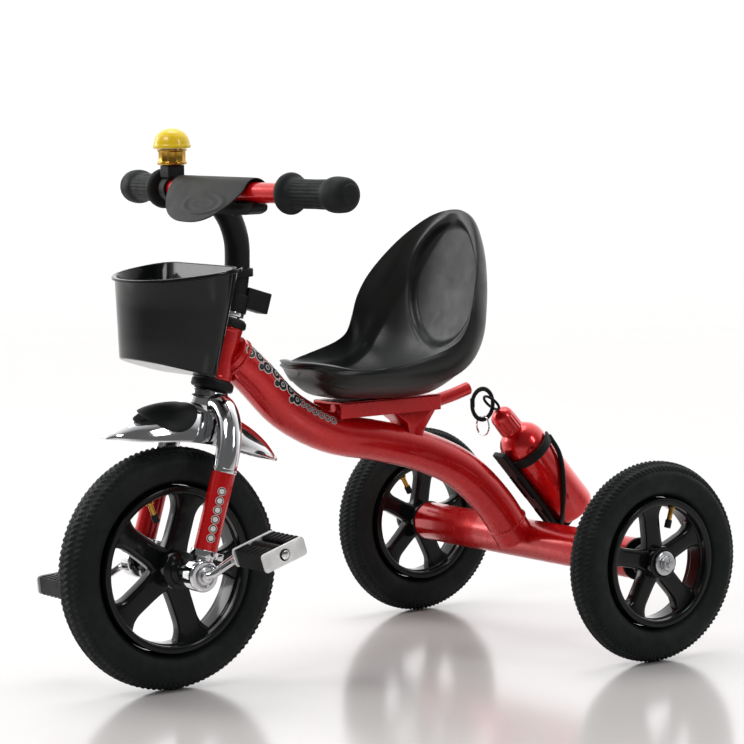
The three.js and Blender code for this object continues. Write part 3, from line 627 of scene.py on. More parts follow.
FINISHES = {
    "enamel": enamel,
    "chrome": chrome,
    "seat_plastic": lambda name: moulded(name, tints().seat, 0.28, 0.42, 1500, 0.0001, 0.0, 0.4),
    "satin_black": lambda name: moulded(name, tints().satin, 0.38, 0.55, 1100, 0.00016),
    "gloss_black": lambda name: moulded(name, tints().gloss, 0.1, 0.2, 700, 0.00004, 0.12),
    "cover_grey": lambda name: moulded(name, tints().cover, 0.45, 0.6, 1300, 0.0002),
    "tyre": lambda name: rubber(name, tints().tyre, 0.5),
    "grip": lambda name: rubber(name, tints().grip, 0.25),
    "dome": lambda name: moulded(name, tints().dome, 0.22, 0.34, 600, 0.00003, 0.3, 0.4),
    "brass": lambda name: worked_metal(name, tints().brass, 0.12, 0.3, (1, 1, 0.05)),
    "zinc": lambda name: worked_metal(name, (0.62, 0.63, 0.65), 0.22, 0.42, (0.05, 1, 1)),
    "plate": lambda name: worked_metal(name, (0.9, 0.9, 0.9), 0.3, 0.42, (1, 0.05, 1), 0.3),
    "lacquer": lacquer,
    "ink_black": lambda name: ink(name, (0.012, 0.012, 0.014)),
    "ink_white": lambda name: ink(name, (0.8, 0.78, 0.76)),
    "floor": floor_finish,
}


def finish(name):
    """The named finish, made the first time it is asked for."""
    label = f"{name}_finish"
    return bpy.data.materials.get(label) or FINISHES[name](label)


# ---- turned profiles
# how far each corner is softened, in how many steps, and the radius and height of its points
PROFILES = {
    "front": (1.2, 4, mirrored([
        (0, -57), (11, -57), (11, -36.5), (17, -33.5), (17, -30.5), (24, -28.5), (24, -20),
        (22.4, -18),
    ])),
    "left_rear": (1.2, 4, [
        (0, -20.6), (21, -20.6), (21, -14), (19.6, -12), (19.6, 12), (21, 14), (21, 20.6),
        (16, 20.6), (14, 18.5), (0, 18.5),
    ]),
    "head": (0.8, 4, [
        (17, HEAD_LOW), (21.4, HEAD_LOW), (21.4, HEAD_LOW + 4), (21, HEAD_LOW + 5),
        (21, HEAD_HIGH - 5), (21.4, HEAD_HIGH - 4), (21.4, HEAD_HIGH), (17, HEAD_HIGH),
        (17, HEAD_LOW),
    ]),
    "plug": (0.8, 4, [
        (0, 216), (22, 216), (22, 222.3), (27.5, 222.3), (26.5, 225.2), (12, 225.9), (0, 225.9),
    ]),
    "rear_bush": (0.6, 4, [
        (0, 268), (10.6, 268), (10.6, 272.3), (15.4, 272.3), (15.4, 275), (13.4, 276), (0, 276),
    ]),
    "lower": (1.0, 4, [
        (14.8, HEAD_LOW - 13), (24.5, HEAD_LOW - 13), (26.4, HEAD_LOW - 11),
        (26.4, HEAD_LOW - 3.5), (23, HEAD_LOW - 0.3), (14.8, HEAD_LOW - 0.3),
        (14.8, HEAD_LOW - 13),
    ]),
    "upper": (1.0, 4, [
        (14.8, HEAD_HIGH + 0.3), (23, HEAD_HIGH + 0.3), (24.4, HEAD_HIGH + 3),
        (23.6, HEAD_HIGH + 8.5), (20, HEAD_HIGH + 11.8), (14.8, HEAD_HIGH + 11.8),
        (14.8, HEAD_HIGH + 0.3),
    ]),
    "crown": (1.0, 4, [
        (11.7, 196), (24, 196), (26, 203), (25.4, 212), (24, 214), (23.4, 220), (21, 224.6),
        (14, 224.6), (14, 318), (18.6, 318), (18.6, 323.6), (14, 323.6), (14, 346.8),
        (11.7, 346.8), (11.7, 196),
    ]),
    "housing": (0.9, 4, [
        (0, 61.2), (18, 61.2), (20, 63.5), (20, 80.5), (18, 82.8), (12.6, 82.8), (12.6, 81.2),
        (0, 81.2),
    ]),
    "fork_bush": (0.5, 4, [(0, 81.5), (11, 81.5), (11, 84.6), (8.5, 85.4), (0, 85.4)]),
    "grip": (4, 5, [
        (13, 0.4), (19, 0.4), (24, 2.5), (25.6, 7.5), (25, 12.5), (20, 16.5), (18.3, 21),
        (17.8, 30), (17.6, 50), (18.1, 74), (18.4, 77), (20.6, 81), (21.7, 87), (21.6, 95),
        (20.6, GRIP_LENGTH + 2), (17.6, GRIP_LENGTH + 7), (14.2, GRIP_LENGTH + 8.2),
        (13.6, GRIP_LENGTH + 8.3), (13, GRIP_LENGTH + 10.6), (0, GRIP_LENGTH + 10.8),
    ]),
    "drum": (0.6, 4, [
        (0, 30.3), (17.6, 30.3), (18.8, 31.6), (18.8, 33.4), (17.4, 34.6), (17.4, 46.8),
        (18.8, 48), (18.8, 49.9), (0, 49.9),
    ]),
    "dome": (2, 5, [
        (0, 50.7), (22.6, 50.7), (24.0, 51.8), (24.1, 54.4), (23.1, 56.4), (22.6, 60),
        (20.6, 65.4), (16.4, 70.6), (10.4, 74.2), (4, 75.8), (0, 75.9),
    ]),
    "bottle": (4, 6, [
        (0, -58.5), (22, -58.5), (24, -60), (29, -60), (31.2, -56), (31.9, -50), (31.9, 62),
        (30.8, 72), (26.5, 81), (19, 88.5), (14.5, 91), (12.5, 92.6), (12.5, 99.8), (0, 99.8),
    ]),
    "cap": (2, 5, [
        (0, 93.5), (15.9, 93.5), (16.3, 96), (15.7, 118), (13.5, 123.5), (8, 127.6), (4.5, 129),
        (0, 129.1),
    ]),
}


PROFILES["right_rear"] = (1.2, 4, [(r, -h) for r, h in reversed(PROFILES["left_rear"][2])])


def named_profile(name):
    """The named profile with its corners softened."""
    reach, steps, points = PROFILES[name]
    return softened(points, reach, steps)


def lathe(name, matrix, sides=64):
    """The named profile turned about local Z."""
    return turned(named_profile(name), matrix, sides)


# ---- wheels
WHEELS = (
    ("front", FRONT, HUB, "front_wheel", 0.0, 112.0),
    ("left_rear", REAR, shift(TRACK_HALF, 0, 0) @ REAR_MIDDLE, "left_rear_wheel", 24.0, 73.0),
    ("right_rear", REAR, shift(-TRACK_HALF, 0, 0) @ REAR_MIDDLE, "right_rear_wheel", 8.0, 118.0),
)


def pulse(t, soft):
    """A square wave of period 1 with sloped sides, from 0 to 1."""
    return np.clip(0.5 + np.sin(TURN * t) / soft, 0, 1)


def tyre_shell(size, matrix):
    """A superellipse section turned about the axle, raised into slanted tread blocks.

    The radius adds a block height wherever two square waves meet: one round the tyre,
    slanted by the distance from the crown, and one across it that parts the rows.
    """
    blocks = sizes().tread_blocks
    a, b = circle(blocks * 8)[:, None], np.linspace(-math.pi, math.pi, 52, endpoint=False)[None]
    middle = (size["bead"] + size["radius"]) / 2
    reach = middle + (size["radius"] - size["bead"]) / 2 * powered(np.cos(b), 0.82)
    width = size["width"] / 2 * powered(np.sin(b), 0.9)
    slant = blocks * a / TURN + 1.15 * np.abs(b) / 0.6 + 0.5 * (b > 0)
    rows = pulse(np.abs(b) / 0.62 - 0.1, 0.35)
    zone = np.clip((1.25 - np.abs(b)) / 0.12, 0, 1)
    groove = sizes().tread_depth * 1000 * (1 - pulse(slant, 0.5) * rows) * zone
    ring = 0.7 * np.exp(-(((np.abs(b) - 2.25) / 0.07) ** 2))
    reach = reach + (ring - groove) * np.cos(b)
    width = width + (ring - groove) * np.sin(b)
    points = np.stack([width + 0 * a, reach * np.cos(a), reach * np.sin(a)], -1)
    return shell(moved(points, matrix), wrap_rows=True)


def spoke_shell(size, hub_radius, angle, matrix):
    """One spoke: a rounded bar along a radius, widening as a power curve towards the rim."""
    start, end = hub_radius * 0.6, size["opening"] + 2.5
    t = np.linspace(0, 1, 40)
    flare = 1.25 * np.clip((t - 0.6) / 0.4, 0, 1) ** 2.6
    wide = size["spoke"] * (0.98 + 0.35 * np.exp(-t * 9) + flare)
    thick = size["width"] * (0.2 + 0.05 * np.clip((t - 0.7) / 0.3, 0, 1) ** 2)
    bar = stadium(40, 1, 1, 0.42)
    section = np.stack([thick[:, None] * bar[:, 0], wide[:, None] * bar[:, 1]], -1)
    path = np.stack([0 * t, start + (end - start) * t, 0 * t], -1)
    return swept(path, section, matrix=matrix @ spin("X", angle))


def rim_shell(size, matrix):
    """The rim: a deep channel section with rolled lips and an inner rib, turned."""
    half = size["width"] * 0.43
    inner, outer = size["opening"], size["bead"] - 0.3
    loop = mirrored([
        (inner - 2.2, -half * 0.5), (inner, -half * 0.62), (inner, -half), (inner + 3, -half - 1.2),
        (outer - 1, -half - 1.2), (outer, -half),
    ])
    return turned(closed(softened_loop(loop, 1.4)), matrix @ ABOUT_X, 120)


def valve_shells(size, angle, matrix):
    """A brass stem and its rubber cap standing in from the rim."""
    at = matrix @ spin("X", angle) @ shift(size["width"] * 0.3, size["opening"] - 0.8, 0)
    inward = at @ spin("X", 90)
    return (
        [rod(3.2, 0.4, 18, inward, 0.3, 24), rod(4.6, 0.4, 3.4, inward, 0.5, 24)],
        [rod(4.3, 17, 27.6, inward, 0.9, 24)],
    )


class TRIKE_OT_wheels(bpy.types.Operator):
    """Three wheels: treaded tyres, five-spoke centres with deep rims, and valves"""

    bl_idname = "trike.wheels"
    bl_label = "Wheels"

    def execute(self, context):
        for name, size, matrix, body, phase, valve in WHEELS:
            tyre = [tyre_shell(size, matrix)]
            make(f"{name}_tyre_skin", body, "tyre", tyre, f"{name}_tyre")
            hub = named_profile(name)
            centre = [rim_shell(size, matrix), turned(hub, matrix @ ABOUT_X)]
            centre += [
                spoke_shell(size, hub[:, 0].max(), phase + 72 * i, matrix) for i in range(5)
            ]
            make(f"{name}_wheel_centre", body, "gloss_black", centre, body)
            stem, cap = valve_shells(size, valve, matrix)
            make(f"{name}_valve_stem", body, "brass", stem, f"{name}_valve")
            make(f"{name}_valve_cap", body, "satin_black", cap, slot="")
        return {"FINISHED"}


# ---- frame
TUBE_POINTS = [
    (0, -466, 407), (0, -438, 383), (0, -382, 329), (0, -320, 297), (0, -245, 280),
    (0, -172, 259), (0, -112, 230), (0, -58, 181), (0, -24, 134),
]


def weld_bead(path_at, radius, tangent, ripples=34):
    """A rippled bead laid round a tube: a thin ring whose thickness rises and falls."""
    a, b = circle(272)[:, None], circle(12)[None]
    thick = 2.2 + 0.5 * np.abs(np.sin(a * ripples / 2))
    side, along = np.array([1.0, 0, 0]), unit(tangent)
    out = np.cos(a)[..., None] * side + np.sin(a)[..., None] * np.cross(along, side)
    reach, rise = (radius + thick * np.cos(b))[..., None], (thick * np.sin(b))[..., None]
    return shell(path_at + out * reach + along * rise, wrap_rows=True)


class TRIKE_OT_frame(bpy.types.Operator):
    """The frame: an S-shaped tube from the head tube to the rear axle tube, with weld beads"""

    bl_idname = "trike.frame"
    bl_label = "Frame tubes"

    def execute(self, context):
        path = spline(TUBE_POINTS, 160)
        make("main_tube_skin", "frame", "enamel", [pipe(path, FRAME_R, 72)], "main_tube")
        make("head_tube_skin", "frame", "enamel", [lathe("head", HEAD)], "head_tube")
        axle = REAR_MIDDLE @ ABOUT_X
        tube = [rod(FRAME_R, -AXLE_TUBE_HALF, AXLE_TUBE_HALF, axle, 0.8, 72)]
        make("axle_tube_skin", "frame", "enamel", tube, "axle_tube")
        beads = [
            weld_bead(path[3], FRAME_R - 0.6, path[5] - path[3]),
            weld_bead(path[-8], FRAME_R - 0.6, path[-8] - path[-10]),
        ]
        make("weld_beads", "frame", "enamel", beads)
        plugs = [turned(named_profile("plug") * (1, side), axle) for _, side in SIDES]
        make("axle_plugs", "frame", "satin_black", plugs, "left_axle_plug right_axle_plug")
        return {"FINISHED"}


class TRIKE_OT_axle(bpy.types.Operator):
    """The rear axle: a plain rod, a nut at each end and the wheels' end bushes"""

    bl_idname = "trike.axle"
    bl_label = "Rear axle"

    def execute(self, context):
        rear_rod = [rod(AXLE_R, -AXLE_HALF, AXLE_HALF, REAR_MIDDLE @ ABOUT_X, 1.0)]
        make("rear_axle_rod", "frame", "zinc", rear_rod, "rear_axle")
        base = TRACK_HALF + 25.3
        for name, side in SIDES:
            end = REAR_MIDDLE @ OUTWARD[side]
            nut = [hexagon(17.6, base + 0.8, base + 7.6, end), rod(9.6, base, base + 1.6, end, 0.4)]
            make(f"{name}_axle_nut_body", "frame", "zinc", nut, f"{name}_axle_nut")
            bush, wheel = [lathe("rear_bush", end)], f"{name}_rear_wheel"
            make(f"{name}_rear_bush_body", wheel, "zinc", bush, f"{name}_rear_bush")
        return {"FINISHED"}


class TRIKE_OT_headset(bpy.types.Operator):
    """The headset: two black cups above and below the head tube, which also stand in for the
    bearings inside
    """

    bl_idname = "trike.headset"
    bl_label = "Headset"

    def execute(self, context):
        for name in ("lower", "upper"):
            cup = [lathe(name, HEAD)]
            nodes = f"{name}_headset_cup {name}_bearing"
            make(f"{name}_cup_body", "frame", "satin_black", cup, nodes)
        return {"FINISHED"}


# ---- fork
def leg_path(side):
    """The fork leg's arch from the crown, in the head's own frame."""
    return spline(
        [
            (side * 15, 0, 206), (side * 34, 0, 205), (side * 52, 0, 192),
            (side * 64, 0, 170), (side * LEG_X, 0, 136), (side * LEG_X, 0, 128),
        ],
        48,
    )


class TRIKE_OT_fork(bpy.types.Operator):
    """The fork: plated crown and arched legs with painted sleeves, clips and wheel housings"""

    bl_idname = "trike.fork"
    bl_label = "Fork"

    def execute(self, context):
        crown = [lathe("crown", HEAD)]
        make("fork_crown_body", "fork", "chrome", crown, "fork_crown")
        for name, side in SIDES:
            at = HEAD @ shift(side * LEG_X, 0, 0)
            end = HEAD @ OUTWARD[side]
            leg = [
                pipe(leg_path(side), LEG_R, 48, (0, 1, 0), HEAD),
                rod(12.4, 12, 40, at, 0.8),
                washer(12.6, 15.4, 126.5, 131.5, at, 0.9),
                lathe("housing", end),
                washer(13.6, 17.0, 22, 30.5, at, 1.0),
                brick(7, 13, 8.5, at @ shift(0, 20, 26.2), 0.8),
            ]
            sleeve = [washer(12.0, SLEEVE_R, 30.5, 127, at, 0.8)]
            bush = [lathe("fork_bush", end)]
            make(f"{name}_leg_body", "fork", "chrome", leg, f"{name}_fork_leg")
            make(f"{name}_sleeve_body", "fork", "enamel", sleeve, f"{name}_fork_sleeve")
            make(f"{name}_bush_body", "fork", "zinc", bush, f"{name}_fork_bush")
        return {"FINISHED"}


# angle back from straight up, crest radius, half width, skirt depth
FENDER_ROWS = [
    (-27.5, 189, 6, 2), (-24, 193, 24, 12), (-18, 197, 35, 26), (-8, 200, 40, 38),
    (3, 202, 41, 44), (14, 203, 41, 46), (25, 204, 40, 43), (35, 204, 37, 36),
    (44, 203, 30, 24), (50, 201, 20, 12), (53.5, 200, 5, 2),
]


def fender_surface(u, v):
    """An arch about the hub: across it the radius falls as one minus a cosine."""
    angle, crest, half, drop = np.moveaxis(eased(FENDER_ROWS, u), -1, 0)
    turn = np.radians(angle)
    reach = crest - drop * (1 - np.cos(v * math.pi / 2))
    flat = [half * np.sin(v * math.pi / 2), reach * np.sin(turn), reach * np.cos(turn)]
    return moved(np.stack(flat, -1), HUB)


class TRIKE_OT_fender(bpy.types.Operator):
    """The fender: a plated arched shell with a rolled rim, and an oval pad on its crest"""

    bl_idname = "trike.fender"
    bl_label = "Fender"

    def execute(self, context):
        def wall(u, v):
            rim = np.clip((np.maximum(np.abs(v), np.abs(2 * u - 1)) - 0.93) / 0.07, 0, 1) ** 2
            return -1.8 - 0.7 * rim, 0.5 * rim

        fender = [skin(fender_surface, wall, 110, 96, 0.3, 14)]
        make("fender_shell", "fork", "chrome", fender, "fender")

        def pad_surface(reach, turn):
            return fender_surface(
                0.362 + 0.1 * reach * np.sin(turn), 0.22 + 0.6 * reach * np.cos(turn)
            )

        def pad_faces(reach, place):
            return 0 * reach - 0.4, 1.2 + 1.5 * (1 - reach**2) ** 0.7

        pad = [cushion(pad_surface, pad_faces, 72, 60)]
        make("fender_pad_body", "fork", "satin_black", pad, "fender_pad")
        return {"FINISHED"}


# ---- cranks and pedals
class TRIKE_OT_pedals(bpy.types.Operator):
    """The cranks and pedals: one bent rod, and two moulded blocks between end plates"""

    bl_idname = "trike.pedals"
    bl_label = "Cranks and pedals"

    def execute(self, context):
        y, z = CRANK * math.cos(CRANK_ANGLE), CRANK * math.sin(CRANK_ANGLE)
        corner = [
            (-CRANK_END, -y, -z), (-CRANK_ELBOW, -y, -z), (-CRANK_BEND, 0, 0),
            (CRANK_BEND, 0, 0), (CRANK_ELBOW, y, z), (CRANK_END, y, z),
        ]
        bent = softened(corner, 9, 10)
        knots = lengths(bent)
        t = np.unique(np.concatenate([knots, np.linspace(0, knots[-1], 60)]))
        t = t[np.concatenate([[True], np.diff(t) > 0.05])]
        upright = (0, -math.sin(CRANK_ANGLE), math.cos(CRANK_ANGLE))
        rods = [pipe(sampled(t, knots, bent), ROD_R, 28, upright, HUB)]
        for _, side in SIDES:
            rods.append(rod(7.4, -2.2, 2.2, HUB @ shift(side * CRANK_NUT_X, 0, 0) @ ABOUT_X, 0.6))
        make("crank_rod", "front_wheel", "chrome", rods, "crank_axle")
        half = PEDAL_LENGTH / 2
        sides = closed(softened_loop([(-12, -31.5), (12, -31.5), (12, 31.5), (-12, 31.5)], 5, 8))
        knots = lengths(sides)
        outline = sampled(np.linspace(0, knots[-1], 72, endpoint=False), knots, sides)
        for (name, side), tilt in zip(SIDES, (17.0, 4.0)):
            at = HUB @ shift(side * PEDAL_X, side * y, side * z) @ spin("X", tilt)
            along = at @ ABOUT_X
            plates = [
                slab(outline, half - 3, half, along, 0.8),
                slab(outline, -half, 3 - half, along, 0.8),
                rod(8, -half, half, along, 0.5),
            ]
            body = f"{name}_pedal"
            make(f"{body}_plates", body, "plate", plates, f"{body}_spool")
            treads = [rod(10.5, -half + 4, half - 4, along, 1.0)]
            for k in (-20, 20):
                treads.append(brick(PEDAL_LENGTH - 7, 19, 22, at @ shift(0, k, 0), 1.6, 3))
                treads += [
                    brick(4.2, 17, 1.6, at @ shift((row - 2.5) * 9.4, k, face), 0.5, 1)
                    for row in range(6) for face in (11.2, -11.2)
                ]
            make(f"{body}_body", body, "satin_black", treads, f"{body}_block")
        return {"FINISHED"}


# ---- stem and handlebar
STEM_POINTS = [
    (0, -457.6, 479), (0, -455.6, 485.5), (0, -453, 498), (0, -451, 522), (0, -452, 547),
    (0, -459, 569), (0, -472, 590),
]


def bar_line(x):
    """The bar's line seen from above: swept-back ends joined by one parabola."""
    slope = math.tan(BAR_SWEEP)
    reach = np.abs(x)
    middle = BAR_END_Y - BAR_BEND * slope / 2 + slope * reach**2 / (2 * BAR_BEND)
    y = np.where(reach < BAR_BEND, middle, BAR_END_Y + (reach - BAR_BEND) * slope)
    return np.stack([x, y, np.full_like(reach, BAR_Z)], -1)


class TRIKE_OT_handlebar(bpy.types.Operator):
    """The handlebar: stem, bar, clamp block and two rubber grips"""

    bl_idname = "trike.handlebar"
    bl_label = "Stem and handlebar"

    def execute(self, context):
        stem = pipe(spline(STEM_POINTS, 60), STEM_R, 56)
        quill = rod(QUILL_R, 268, 356, HEAD, 0.8)
        make("stem_body", "handlebar", "satin_black", [stem, quill], "stem", "black_paint")
        bar = pipe(bar_line(np.linspace(-BAR_HALF, BAR_HALF, 120)), BAR_R, 48, (0, 1, 0))
        make("bar_body", "handlebar", "enamel", [bar], "handlebar")
        outer = np.concatenate([[(0, 0.4)], named_profile("grip")])
        for name, side in SIDES:
            start = bar_line(np.array([side * GRIP_START]))[0]
            swing = side * math.degrees(BAR_SWEEP) + (0 if side > 0 else 180)
            at = shift(*start) @ spin("Z", swing) @ ABOUT_X
            grip = [ribbed(outer, at, 24, 0.035, 22, 76, 168)]
            make(f"{name}_grip_body", "handlebar", "grip", grip, f"{name}_grip")
        block = softened_loop(
            [(-92, -2), (-86, 0), (86, 0), (92, -2), (91, -9), (77, -14), (-77, -14), (-91, -9)],
            5, 6,
        )
        upright = shift(0, CLAMP_Y, BAR_Z - 12.6) @ spin("X", 90)
        clamp = [slab(block, -12, 12, upright, 1.4)]
        clamp += [
            hexagon(9, -3, 1.8, shift(x, CLAMP_Y, BAR_Z - 26.6) @ spin("X", 180))
            for x in (-38, 38)
        ]
        make("bar_clamp_body", "handlebar", "satin_black", clamp, "bar_clamp")
        collar = [
            washer(14.3, 20, 324, 346, HEAD, 1.2),
            brick(24, 36, 26, HEAD @ shift(0, 30, 345), 1.4, 3),
        ]
        make("stem_clamp_body", "fork", "satin_black", collar, "stem_clamp")
        return {"FINISHED"}


COVER_RIGHT, COVER_LEFT, COVER_GAP = 90, 80, 4.6
COVER_TURN = np.radians([-25, 144])
TONGUE_ENDS, TONGUE_MIDDLE = 8, 48
# middle and half size of the raised oval
EMBLEM_X, EMBLEM_Z, EMBLEM_HALF = 16, 593, (40, 11.5)


def cover_surface(u, v):
    """The bar cover: u runs from behind the bar over its top and down a sloping tongue.

    The first part is an arc round the bar and the rest a straight run along the slope,
    as long as the tongue is at that place across the bar.
    """
    x = v * np.where(v < 0, COVER_RIGHT, COVER_LEFT)
    across = np.abs(v)
    tongue = TONGUE_ENDS + TONGUE_MIDDLE * (1 - across**2.6) ** 0.8
    arc_radius = BAR_R + COVER_GAP
    arc_start, arc_end = COVER_TURN
    arc = arc_radius * (arc_end - arc_start)
    run = u * (arc + tongue)
    angle = arc_start + np.minimum(run, arc) / arc_radius
    past = np.maximum(run - arc, 0)
    y = arc_radius * np.cos(angle) - past * math.sin(arc_end)
    z = arc_radius * np.sin(angle) + past * math.cos(arc_end)
    line = bar_line(x)
    return np.stack([x, line[..., 1] + y, line[..., 2] + z], -1)


class TRIKE_OT_cover(bpy.types.Operator):
    """The bar cover: a moulded sheet over the bar with a sloping tongue and a raised oval"""

    bl_idname = "trike.cover"
    bl_label = "Bar cover"

    def execute(self, context):
        def wall(u, v):
            place = cover_surface(u, v)
            oval = np.hypot(
                (place[..., 0] - EMBLEM_X) / EMBLEM_HALF[0],
                (place[..., 2] - EMBLEM_Z) / EMBLEM_HALF[1],
            )
            ring = np.exp(-(((oval - 1) / 0.13) ** 2)) * (u > 0.5)
            inside = 0.7 * np.exp(-(((oval - 0.55) / 0.12) ** 2)) * (u > 0.5)
            return -1.3 - 1.5 * ring - inside, 0 * u + 1.2

        cover = [skin(cover_surface, wall, 120, 160, 0.3, 16)]
        make("bar_cover_skin", "handlebar", "cover_grey", cover, "bar_cover")
        return {"FINISHED"}


class TRIKE_OT_bell(bpy.types.Operator):
    """The bell: a bracket round the bar, a brass drum and a domed yellow top"""

    bl_idname = "trike.bell"
    bl_label = "Bell"

    def execute(self, context):
        x, y, _ = bar_line(np.array([BELL_X]))[0]
        at = shift(x, y, BAR_Z)
        round_bar = at @ spin("Z", -math.degrees(BAR_SWEEP)) @ ABOUT_X
        bracket = [
            washer(12.8, 16.4, -8, 8, round_bar, 1.0),
            brick(22, 24, 15.4, at @ shift(0, 0, 22), 1.2, 3),
            rod(3.2, -15, 15, at @ shift(0, 16.5, 8) @ ABOUT_X, 0.8, 24),
        ]
        make("bell_bracket_body", "handlebar", "satin_black", bracket, "bell_bracket")
        drum = [ribbed(named_profile("drum"), at, 12, 0.04, 34, 47.4)]
        make("bell_drum", "handlebar", "brass", drum, "bell_base")
        make("bell_top", "bell", "dome", [lathe("dome", at, 80)], "bell_dome")
        return {"FINISHED"}


# ---- basket
def bezier(points, count):
    """A Bernstein curve through the first and last of its points, its end left out."""
    p = np.asarray(points, float)
    t = np.linspace(0, 1, count, endpoint=False)[:, None]
    n = len(p) - 1
    return sum(math.comb(n, k) * t**k * (1 - t) ** (n - k) * p[k] for k in range(n + 1))


def basket_outline():
    """Seen from above, as a unit: a flat back, rounded corners and a half ellipse in front."""
    right = [
        bezier([(0.7, 0), (1, 0), (1, 0.24)], 24),
        bezier([(1, 0.24), (1, 0.68), (0.6, 1), (0, 1)], 70),
    ]
    left = [
        bezier([(0, 1), (-0.6, 1), (-1, 0.68), (-1, 0.24)], 70),
        bezier([(-1, 0.24), (-1, 0), (-0.7, 0)], 24),
    ]
    return np.concatenate([bezier([(-0.7, 0), (0.7, 0)], 40), *right, *left])


# at the floor and at the rim
BASKET_HALF, BASKET_BACK, BASKET_DEPTH = (72, 90), (-523, -497), (86, 113)
# at the back and at the front
FLOOR_Z, RIM_Z = (384, 410), (519, 506)


def basket_points(scale, height, inset):
    """The unit outline drawn out to a tapered bucket whose rim and floor both slope."""
    wide, deep = basket_outline().T
    scale, height, inset = (np.asarray(v, float)[:, None] for v in (scale, height, inset))
    wide = wide[None] * scale
    deep = 0.5 + (deep[None] - 0.5) * scale
    half = between(BASKET_HALF, height) - inset
    back = between(BASKET_BACK, height) - inset
    depth = between(BASKET_DEPTH, height) - 2 * inset
    z = between((between(FLOOR_Z, deep), between(RIM_Z, deep)), height)
    return np.stack([wide * half, back - depth * deep, z], -1)


class TRIKE_OT_basket(bpy.types.Operator):
    """The basket: a glossy tapered bucket with a rolled lip, its strap and screws"""

    bl_idname = "trike.basket"
    bl_label = "Basket"

    def execute(self, context):
        # scale, height and inset of each ring, from the middle of the floor over the lip
        rings = np.array([
            (0, 0, 0), (0.5, 0, 0), (0.9, 0, 0), (0.96, 0, 0), (0.99, 0.006, 0), (1, 0.02, 0),
            (1, 0.3, 0), (1, 0.62, 0), (1, 0.955, 0), (1, 0.962, -0.6), (1, 0.964, -3.2),
            (1, 0.968, -3.9), (1, 0.992, -3.9), (1, 0.998, -3.2), (1, 0.999, -1),
            (1, 0.998, 1.8), (1, 0.99, 2.6), (1, 0.62, 2.6), (1, 0.3, 2.6), (1, 0.045, 2.6),
            (0.985, 0.026, 2.6), (0.95, 0.02, 2.6), (0.5, 0.02, 2.6), (0, 0.02, 2.6),
        ])
        bucket = [shell(basket_points(*rings.T))]
        make("basket_bucket", "handlebar", "gloss_black", bucket, "basket", crease=50)
        collar = [
            washer(16, 20.4, -5, 5, shift(0, STRAP_Y, STRAP_Z), 1.0),
            brick(26, 28, 10, shift(0, STRAP_Y - 31.7, STRAP_Z), 1.0),
            brick(40, 3, 26, shift(0, -498.9, 499) @ spin("X", -math.degrees(0.19)), 0.6),
        ]
        make("basket_strap_body", "handlebar", "satin_black", collar, "basket_strap")
        screws = [rod(4.2, -1.5, 1.6, shift(k * 10.5, -470.5, 512.4), 0.8, 32) for k in (1, -1)]
        make("strap_screws", "handlebar", "chrome", screws, slot="")
        return {"FINISHED"}


# ---- seat
# half width, y and z of the rim, then y and z of the middle line, from front lip to top edge
SEAT_ROWS = [
    (0, -379, 383, -379, 383), (42, -362, 387, -371, 387), (66, -337, 384, -346, 385),
    (90, -314, 382, -326, 374), (103, -286, 386, -300, 362), (109, -256, 392, -270, 353),
    (113, -226, 400, -238, 349), (119, -205, 411, -205, 352), (125, -193, 430, -173, 366),
    (125, -185, 455, -150, 394), (117, -174, 481, -138, 432), (102, -158, 508, -129, 473),
    (80, -141, 534, -122, 512), (54, -127, 554, -117, 543), (30, -119, 565, -114, 562),
    (0, -114, 570, -114, 570),
]


def seat_rim(count, window):
    """The rim as row position and half width all the way round, evenly spaced.

    Both sides are joined into a loop, spaced by arc length and averaged over a window.
    """
    row = np.linspace(0, 1, 1200)
    half = eased(SEAT_ROWS, row)[:, 0]
    loop = np.stack([np.append(row, row[-2::-1]), np.append(half, -half[-2::-1])], -1)
    arc = lengths(loop * (360, 1))
    even = np.linspace(0, arc[-1], count, endpoint=False)
    rim = sampled(even, arc, loop)
    return sum(np.roll(rim, k, axis=0) for k in range(-window, window + 1)) / (2 * window + 1)


SEAT_RIM = seat_rim(720, 12)
SEAT_ROLL, SEAT_WALL, SEAT_STEP, SEAT_RIDGE = 6.0, 10.6, 3.8, 1.1
# height of the recess's middle, and its half width and half height
RECESS_Z, RECESS_HALF = 474, (70, 79)


def seat_surface(reach, turn):
    """The seat's face, out from its middle to the rim.

    A point lies on a row of the table, at some share of that row's half width, and the
    middle line is blended to the rim line by a power of that share's arcsine.
    """
    at = np.arange(len(SEAT_RIM) + 1) / len(SEAT_RIM) * TURN
    row, out = np.moveaxis(sampled(turn % TURN, at, closed(SEAT_RIM)), -1, 0)
    x = reach * out
    half, rim_y, rim_z, mid_y, mid_z = np.moveaxis(
        eased(SEAT_ROWS, 0.5 + reach * (row - 0.5)), -1, 0
    )
    widest = eased(SEAT_ROWS, row)[..., 0]
    across = 2 / math.pi * np.arcsin(np.clip(reach * widest / np.maximum(half, 1e-6), 0, 1))
    blend = across**2.4
    return np.stack([x, mid_y + (rim_y - mid_y) * blend, mid_z + (rim_z - mid_z) * blend], -1)


def smooth_rise(value, start, end):
    """A smooth rise from 0 to 1 between two values: three squares less two cubes."""
    t = np.clip((value - start) / (end - start), 0, 1)
    return t * t * (3 - 2 * t)


